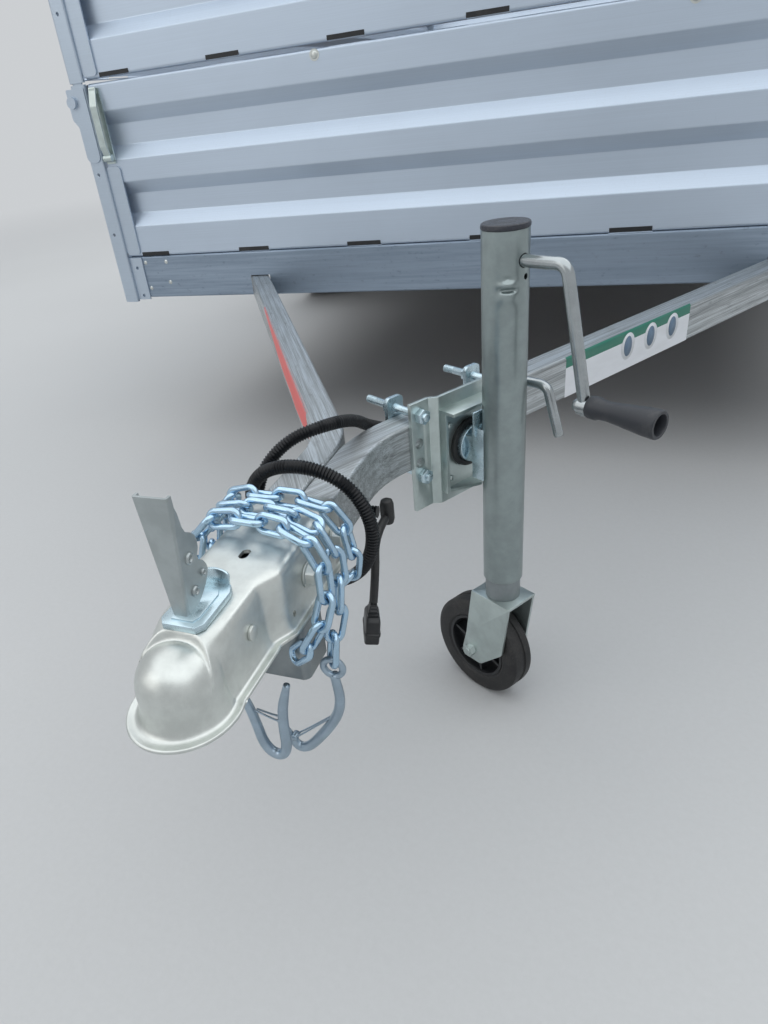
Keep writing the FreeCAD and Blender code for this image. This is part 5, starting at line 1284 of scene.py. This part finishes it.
bpy.context.view_layer.update()
bolt_heights = high - BOLT_DOWN, top_low + BOARD_TALL - BOLT_DOWN
heads = [on_front(x, z) for x in (-0.344, 0.344) for z in bolt_heights]
front_heads = grown("board_bolts_front", ROUND_HEAD, heads, [forward_turn] * len(heads), SATIN, Radius=0.0078,
                    Height=0.0034)
own(front_heads, SATIN, mate="front_board")
studs = [on_front(side * x, z) for side in (-1, 1)
         for x, z in ((0.801, 0.477), (0.801, 0.428), (0.862, 0.477), (0.862, 0.415))]
own(grown("beam_rivets", RIVET, studs, [forward_turn] * len(studs), SATIN), SATIN, mate="front_beam")
# Painted shade: black sheets on the board fronts where the slots under each board show dark.
slot_shade_spots = [Vector((x / 1000, front_face, z + 0.0055)) for z in (low, top_low) for x in range(-825, 826, 275)]
own(grown("painted_slot_shade_front", SLOT_SHADE, slot_shade_spots, [Quaternion()] * len(slot_shade_spots), BLACK_PLASTIC), BLACK_PLASTIC,
    mate="front_board")
print("bolts", len(heads), "rivets", len(studs), "slot_shade_spots", len(slot_shade_spots))

# %% [markdown]
# ## Plug and splice
# The loom ends in a short cable with a moulded four-way plug, and where the cable leaves the conduit a sleeve
# of tape covers the splice. Both are lofts of rounded rectangles.

# %% Plug and splice
def rounded_block(name, node, steps, corner=0.3):
    """Rounded rectangles stacked along a solid's long axis; steps are (share, width share, depth share)."""
    points = corners_of(node)
    centre, along, wide, spans = main_axes(points)
    deep = along.cross(wide)
    reach = points @ np.array(deep)
    depth = reach.max() - reach.min()
    if along.z < 0:
        along = -along
    rings = []
    for share, w, d in steps:
        ring = []
        for quarter, (sx, sy) in enumerate(((1, 1), (-1, 1), (-1, -1), (1, -1))):
            for k in range(7):
                a = math.pi / 2 * (quarter + k / 6)
                x = sx * (0.5 - corner / 2) + math.cos(a) * corner / 2
                y = sy * (0.5 - corner / 2) + math.sin(a) * corner / 2
                aside = wide * x * w * spans[1]
                ring.append(centre + along * spans[0] * share + aside + deep * y * d * depth)
        rings.append(ring)
    return tidy(loft(name, rings), 40)


PLUG_STEPS = [(-0.5, 1.24, 0.98), (-0.485, 1.32, 1.08), (-0.28, 1.34, 1.1), (-0.26, 1.42, 1.2),
              (-0.20, 1.42, 1.2), (-0.18, 1.32, 1.1), (0.10, 1.28, 1.08), (0.18, 1.1, 1.0), (0.21, 0.8, 0.85),
              (0.26, 0.8, 0.85), (0.28, 0.6, 0.7), (0.34, 0.6, 0.7), (0.36, 0.5, 0.6), (0.42, 0.5, 0.6),
              (0.44, 0.42, 0.5), (0.5, 0.40, 0.48)]
own(rounded_block("plug_body", "loom_plug", PLUG_STEPS), BLACK_PLASTIC, "loom_plug")
SPLICE_STEPS = [(share, w, w) for share, w in ((-0.5, 0.4), (-0.46, 0.56), (-0.3, 0.68), (0.3, 0.68),
                                               (0.46, 0.56), (0.5, 0.4))]
own(rounded_block("splice_sleeve", "loom_joint", SPLICE_STEPS, 0.9), BLOCK_RUBBER, "loom_joint")
print("plug and splice made")

# %% [markdown]
# ## The jack's tube and rods
# The jack's outer tube is crimped in one place: a lip stands out over a short slit, which holds the nut of
# the screw inside. A grid of points round the tube can be pushed in and out by a sum, so the crimp is part
# of the same surface. The crank and the pull pin are bent rods, drawn as lines whose corners are cut.

# %% Jack tube and cap
JACK_X, TUBE_OUT_R, TUBE_IN_R = 95.0, 25.4, 22.9
TUBE_FOOT, TUBE_HEAD = 213.0, 649.0
CRIMP_TURN, CRIMP_Z = math.radians(-42), 591.0


def crimp(turn, z):
    """How far the crimp pushes the tube's skin out at a turn and a height."""
    aside = (turn - CRIMP_TURN) * TUBE_OUT_R
    lip = 2.6 * math.exp(-(aside / 9) ** 2 - ((z - CRIMP_Z - 5) / 3) ** 2)
    slit = 3.8 * math.exp(-(aside / 9) ** 4 - ((z - CRIMP_Z + 1) / 1.9) ** 2)
    dent = 1.8 * math.exp(-(aside / 7.5) ** 2 - ((z - CRIMP_Z - 11) / 2.4) ** 2)
    bulge = 2.1 * math.exp(-(aside / 9) ** 2 - ((z - CRIMP_Z + 9) / 6) ** 2)
    return lip + bulge - slit - dent


def jack_barrel():
    """The tube with its crimp, the crank's window and a small bolt hole."""
    heights = [TUBE_FOOT, TUBE_FOOT + 0.8] + [220 + 30 * k for k in range(12)]
    heights += [563 + 1.25 * k for k in range(44)] + [630, TUBE_HEAD - 0.8, TUBE_HEAD]
    turns = [2 * math.pi * k / 128 - math.pi for k in range(128)]
    rings = []
    for z in heights:
        radius = TUBE_OUT_R - (0.8 if z in (TUBE_FOOT, TUBE_HEAD) else 0.0)
        radii = [radius + crimp(t, z) for t in turns]
        rings.append([by_jack(JACK_X + r * math.cos(t), r * math.sin(t), z) for r, t in zip(radii, turns)])
    for z in (TUBE_HEAD, TUBE_FOOT):
        rings.append([by_jack(JACK_X + TUBE_IN_R * math.cos(t), TUBE_IN_R * math.sin(t), z) for t in turns])
    tube = tidy(loft("jack_barrel", rings + rings[:1], ends=False))
    window, hole = (prism("window", circle(28, *place), JACK_X + 14, JACK_X + 34, across_jack)
                    for place in ((7.3, 0.0, 618.0), (3.2, 3.2, 601.5)))
    return tidy(cut_holes(tube, window, hole), 38)


def along_jack(profile, x, y, z, name, sides=40):
    """A shape turned about the jack's X direction, its profile in millimetres."""
    return tidy(turned(name, metres(profile), by_jack(x, y, z), JACK_WAY, sides), 35)


own(jack_barrel(), JACK_ZINC, "jack_tube")
CAP = [(-0.4, 0.0), (-0.4, 25.2), (0.4, 25.9), (2.6, 26.0), (4.4, 25.4), (5.2, 24.2), (5.0, 22.6),
       (5.3, 20.5), (5.3, 12.0), (5.0, 11.4), (5.3, 10.8), (5.3, 0.0)]
cap = turned("tube_cap", metres(CAP), by_jack(JACK_X, 0, TUBE_HEAD), (0, 0, 1), 64)
own(tidy(cap, 35), CAP_PLASTIC, "jack_cap")

# %% Crank and pull pin
def bent_rod(name, corners, radius):
    """A round rod along a line with its corners rounded off, the corners on the jack's axes."""
    line, _ = spaced(eased([by_jack(*corner) for corner in corners], 5), 0.0025)
    end = radius * 0.86
    return bar(name, line, [end] + [radius] * (len(line) - 2) + [end], 20)


CRANK = [(103, 0, 618), (150, 0, 618), (173, 0, 619), (179, 0, 594), (206, 0, 470)]
BOSS = [(-8.0, 0.0), (-7.6, 3.0), (-5.6, 6.0), (-2.2, 7.6), (0.0, 7.8), (0.2, 9.2), (11.4, 9.2), (11.6, 6.6),
        (15.0, 6.6), (15.0, 0.0)]
crank = merged("crank_rod", bent_rod("rod", CRANK, 0.0066), along_jack(BOSS, 198, 0, 478.5, "boss"))
own(tidy(crank, 38), ROD_STEEL, "jack_crank")
PIN = [(60, 36, 472), (98, 36, 473), (127, 36, 474), (133, 36, 456), (147, 36, 416)]
SLEEVE = [(0.0, 0.0), (0.0, 8.4), (1.0, 9.4), (24.0, 9.4), (25.5, 8.2), (25.5, 0.0)]
LUG = [(23, 440), (49, 440), (49, 478), (44, 485), (28, 485), (23, 478)]
lug = softened(prism("lug", LUG, 63.6, 67.6, across_jack), 0.0006)
pin = merged("pull_pin_rod", bent_rod("pin", PIN, 0.0058), along_jack(SLEEVE, 67, 36, 472.4, "sleeve"), lug)
own(tidy(pin, 38), ROD_STEEL, "pull_pin")
print("rods: 2")

# %% [markdown]
# ### The pivot in its tray
# The jack turns on a flat disc in the mount's tray. A rubber ring seals the disc and its face has a rolled
# lip. A small ear with a hole stands out beside the tube. The ring, the lip and the ear turn with the jack;
# the rivets of the tray and the long threads of the clamps don't, so they ride on the chassis.

# %% Pivot ring, lip and ear
PIVOT, TRAY_X = 392.0, 37.4
SEAL = [(-0.4, 24.3), (3.6, 24.5), (4.8, 26.0), (4.8, 29.0), (3.4, 31.2), (-0.4, 31.8), (-0.4, 24.3)]
seal = along_jack(SEAL, TRAY_X, 0, PIVOT, "pivot_seal", 64)
own(seal, BLOCK_RUBBER, mate="jack_swivel", slot_of="jockey_tyre")
LIP = [(-1.0, 23.9), (1.6, 23.9), (2.4, 23.2), (2.4, 21.8), (1.6, 20.9), (-1.0, 20.4), (-1.0, 23.9)]
own(along_jack(LIP, 45, 0, PIVOT, "pivot_lip", 64), PALE_BLUE, mate="jack_swivel")
EAR = [(-25, 446), (-25, 418), (-21, 411), (-14, 408), (-8, 410), (-5, 416), (-5, 446)]
ear = softened(prism("pivot_ear", EAR, 67.6, 70.4, across_jack), 0.0006)
ear = cut_holes(ear, prism("ear_hole", circle(20, 4.2, -14.5, 425), 60, 75, across_jack))
own(tidy(ear, 35), PALE_BLUE, mate="jack_swivel")
tray_spots = [by_jack(TRAY_X, y, z) for y, z in ((-33, 424), (-33, 352), (33, 352))]
tray_rivets = grown("tray_rivets", ROUND_HEAD, tray_spots, [facing_turn(JACK_WAY)] * 3, MOUNT_ZINC,
                    Radius=0.0038, Height=0.0022, Washer=0.0042)
own(tray_rivets, MOUNT_ZINC, mate="jack_mount")
thread = [(-72.0, 0.0), (-72.0, 3.6)]
for k in range(12):
    thread += [(foot + 1.5 * k, r) for foot, r in ((-71.3, 4.9), (-70.6, 4.9), (-70.2, 4.35), (-69.9, 4.35))]
thread += [(-53.0, 4.7), (-53.0, 0.0)]
ends = [along_jack(thread, 0, y, 446, "thread_end", 24) for y in (-69, 69)]
own(merged("thread_ends", *ends), PALE_BLUE, mate="jack_clamps")
print("pivot pieces: 5")

# %% [markdown]
# ## Road wheels
# A tyre is a turned carcass with tread blocks standing on it in six rows. The blocks are one tapered block
# grown at each place, every second row half a pitch on. A row of the table gives its distance from the
# middle, its start in pitches, its radius, and how far its blocks are twisted and leant. Wheel nuts are grown
# the same way. The valve is a short bar. Both wheels are the same, so one function makes either.

# %% Tyre and nut recipes
def tread_block():
    """A block across X, along Y and up Z, its top drawn in."""
    r = Recipe("tread_block", Across=0.019, Along=0.0215, Height=0.0105)
    sizes = r.vector(X=r.size("Across"), Y=r.size("Along"), Z=r.size("Height"))
    block = r.add("GeometryNodeMeshCube", Size=sizes, Vertices_X=3, Vertices_Y=4)
    where = r.add("GeometryNodeInputPosition")
    parts = r.add("ShaderNodeSeparateXYZ", Vector=where)
    draw = r.add("ShaderNodeMapRange", Value=parts.node.outputs[2], From_Min=0.0, From_Max=0.005, To_Min=0.0,
                 To_Max=-0.14)
    push = r.add("ShaderNodeVectorMath", {"operation": "SCALE"}, Vector=where, Scale=draw)
    return r.done(r.add("GeometryNodeSetPosition", Geometry=block, Offset=push))


def wheel_nut():
    """A six-sided nut along Z with a coned top."""
    r = Recipe("wheel_nut", Radius=0.0105, Height=0.012)
    body = r.add("GeometryNodeMeshCylinder", Vertices=6, Radius=r.size("Radius"), Depth=r.size("Height"))
    cone = r.add("GeometryNodeMeshCone", Vertices=18, Radius_Top=0.0052, Radius_Bottom=0.0090, Depth=0.0035)
    raised = r.add("GeometryNodeTransform", Geometry=cone, Translation=(0.0, 0.0, 0.0058))
    return r.done(r.joined(body, raised))


BLOCK, NUT = tread_block(), wheel_nut()
CARCASS = [(50.5, 168), (62.5, 168), (62.5, 179), (66, 184), (72, 192), (77.2, 200.5), (79.6, 203),
           (80.3, 207), (79.9, 210.5), (82.2, 232), (81.6, 250), (79.2, 266), (75.5, 277), (70.5, 284),
           (65, 287), (45, 288.6), (20, 289), (0, 289)]
HOLLOW = [(-50.5, 168), (-73.5, 245), (-46.5, 283), (46.5, 283), (73.5, 245), (50.5, 168)]
ROWS = [(11, 0.0, 292.0, 10, 0), (32.5, 0.5, 291.6, -8, 0), (56, 0.0, 289.0, 0, -9)]
BLOCKS_ROUND = 72
NUTS, NUT_OUT, NUT_CIRCLE = 5, 0.033, 0.045
print("blocks on a tyre:", 2 * len(ROWS) * BLOCKS_ROUND)

# %% Road wheels
def radial_way(angle):
    """A direction square to the axle, turned from straight up."""
    return Vector((0, math.sin(angle), math.cos(angle)))


def road_wheel(side, out):
    """Tyre, nuts and valve of one wheel; out is +1 on the right."""
    node = "road_tyre_" + side
    lo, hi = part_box(node)
    centre = (Vector(lo) + Vector(hi)) / 2
    axle_way = Vector((out, 0, 0))
    outline = CARCASS + [(-a, r) for a, r in CARCASS[:-1][::-1]] + HOLLOW[1:]
    carcass = turned("carcass", metres(outline), centre, axle_way, 144)
    spots, turns = [], []
    for across, phase, radius, skew, lean in ROWS:
        for half in (-1, 1):
            for k in range(BLOCKS_ROUND):
                radial = radial_way(2 * math.pi * (k + phase + (0.5 if half > 0 else 0.0)) / BLOCKS_ROUND)
                ahead = radial.cross(axle_way)
                tilt = Quaternion(ahead, math.radians(lean * half))
                twist = Quaternion((0, 0, 1), math.radians(skew * half))
                spots.append(centre + axle_way * (half * across / 1000) + radial * (radius / 1000))
                turns.append(tilt @ turn_of(axle_way, ahead, radial) @ twist)
    tyre = merged("tyre_" + side, carcass, grown("blocks", BLOCK, spots, turns, TYRE))
    own(tidy(tyre, 38, outward=False), TYRE, node)
    nut_spots = [centre + axle_way * NUT_OUT + radial_way(2 * math.pi * k / NUTS + 0.3) * NUT_CIRCLE
                 for k in range(NUTS)]
    nuts = grown("wheel_nuts_" + side, NUT, nut_spots, [facing_turn(axle_way)] * NUTS, SATIN)
    own(nuts, SATIN, mate=node, slot_of="coupler_bolts")
    ray = radial_way(2.2)
    stem = [centre + axle_way * x + ray * r for x, r in metres(((16, 143), (34, 147), (37, 148), (52, 151)))]
    valve = bar("valve_" + side, spaced(stem, 0.0015)[0], 0.0036)
    own(tidy(valve, 35), BLACK_PLASTIC, mate=node)
    return len(tyre.data.polygons)


print("tyre faces:", road_wheel("right", 1), road_wheel("left", -1))

# %% [markdown]
# ## Floor and light
# The floor is plain and pale, and the world beyond it has the same tone, so no horizon shows. One wide soft
# lamp hangs over the front of the trailer like an overcast sky, because zinc only looks like zinc when it
# has something broad to reflect. Two weaker lamps fill the front and the rear.

# %% Stage
BACKDROP, FLOOR = (0.60, 0.62, 0.64, 1), 60


def stage_floor():
    """A pale floor that takes the backdrop's tone far from the object."""
    f = Finish("floor_pale", Metallic=0.0, Roughness=0.75)
    fine = f.grain(9, detail=6, rough=0.7)
    broad = f.grain(900, detail=3)
    tone = f.mix(fine * 0.6 + broad * 0.4, (0.57, 0.57, 0.56), (0.66, 0.66, 0.655))
    f.feed(Base_Color=tone, Normal=f.bump(fine, 0.4))
    away = f.node("VectorMath", {"operation": "LENGTH"}, {0: f.place()}, "Value").between(3.2, 9.0)
    by_camera = f.node("LightPath", {}, {}, "Is Camera Ray")
    seen = by_camera.maths("MAXIMUM", by_camera, f.node("LightPath", {}, {}, "Is Glossy Ray"))
    haze = f.tree.nodes.new("ShaderNodeEmission")
    haze.inputs["Color"].default_value = BACKDROP
    blend = f.tree.nodes.new("ShaderNodeMixShader")
    f.tree.links.new((away * seen).socket, blend.inputs[0])
    f.tree.links.new(f.shader.outputs[0], blend.inputs[1])
    f.tree.links.new(haze.outputs[0], blend.inputs[2])
    f.tree.links.new(blend.outputs[0], f.tree.nodes["Material Output"].inputs[0])
    corners = [(-FLOOR, -FLOOR, 0), (FLOOR, -FLOOR, 0), (FLOOR, FLOOR, 0), (-FLOOR, FLOOR, 0)]
    floor = mesh_piece("floor", corners, [(0, 1, 2, 3)], False)
    floor.data.materials.append(f.material)


def soft_lamp(name, place, target, size, watts, tint=(1, 1, 1)):
    """A square soft lamp aimed at a point."""
    light = bpy.data.lights.new(name, "AREA")
    light.shape = "RECTANGLE"
    light.size, light.size_y = size
    light.energy = watts
    light.color = tint
    lamp = link_in(bpy.data.objects.new(name, light))
    lamp.location = place
    lamp.rotation_euler = (Vector(target) - Vector(place)).to_track_quat("-Z", "Y").to_euler()


def plain_world():
    """Even light, and a pale backdrop to the camera and to metal."""
    world = bpy.data.worlds.new("studio")
    bpy.context.scene.world = world
    world.use_nodes = True
    tree = world.node_tree
    tree.nodes.clear()
    path, either, light, seen, choose, out = (tree.nodes.new("ShaderNode" + kind) for kind in (
        "LightPath", "Math", "Background", "Background", "MixShader", "OutputWorld"))
    either.operation = "MAXIMUM"
    for backdrop, tone, strength in ((light, (0.86, 0.92, 1.0, 1), 0.42), (seen, BACKDROP, 1.0)):
        backdrop.inputs[0].default_value = tone
        backdrop.inputs[1].default_value = strength
    tree.links.new(path.outputs["Is Camera Ray"], either.inputs[0])
    tree.links.new(path.outputs["Is Glossy Ray"], either.inputs[1])
    for socket, source in enumerate((either, light, seen)):
        tree.links.new(source.outputs[0], choose.inputs[socket])
    tree.links.new(choose.outputs[0], out.inputs[0])


stage_floor()
plain_world()
soft_lamp("sky_lamp", (0.2, -0.6, 6.5), (0.2, -0.6, 0.0), (15, 14), 620, (0.95, 0.98, 1.0))
soft_lamp("front_lamp", (-3.2, -4.6, 2.6), (0.0, -1.2, 0.5), (3.6, 2.6), 23, (1.0, 0.98, 0.95))
soft_lamp("rear_lamp", (2.5, 4.5, 4.2), (0.0, 1.2, 0.6), (4.0, 4.0), 60)
bpy.context.scene.view_settings.view_transform = "Standard"
print("lamps: 3")
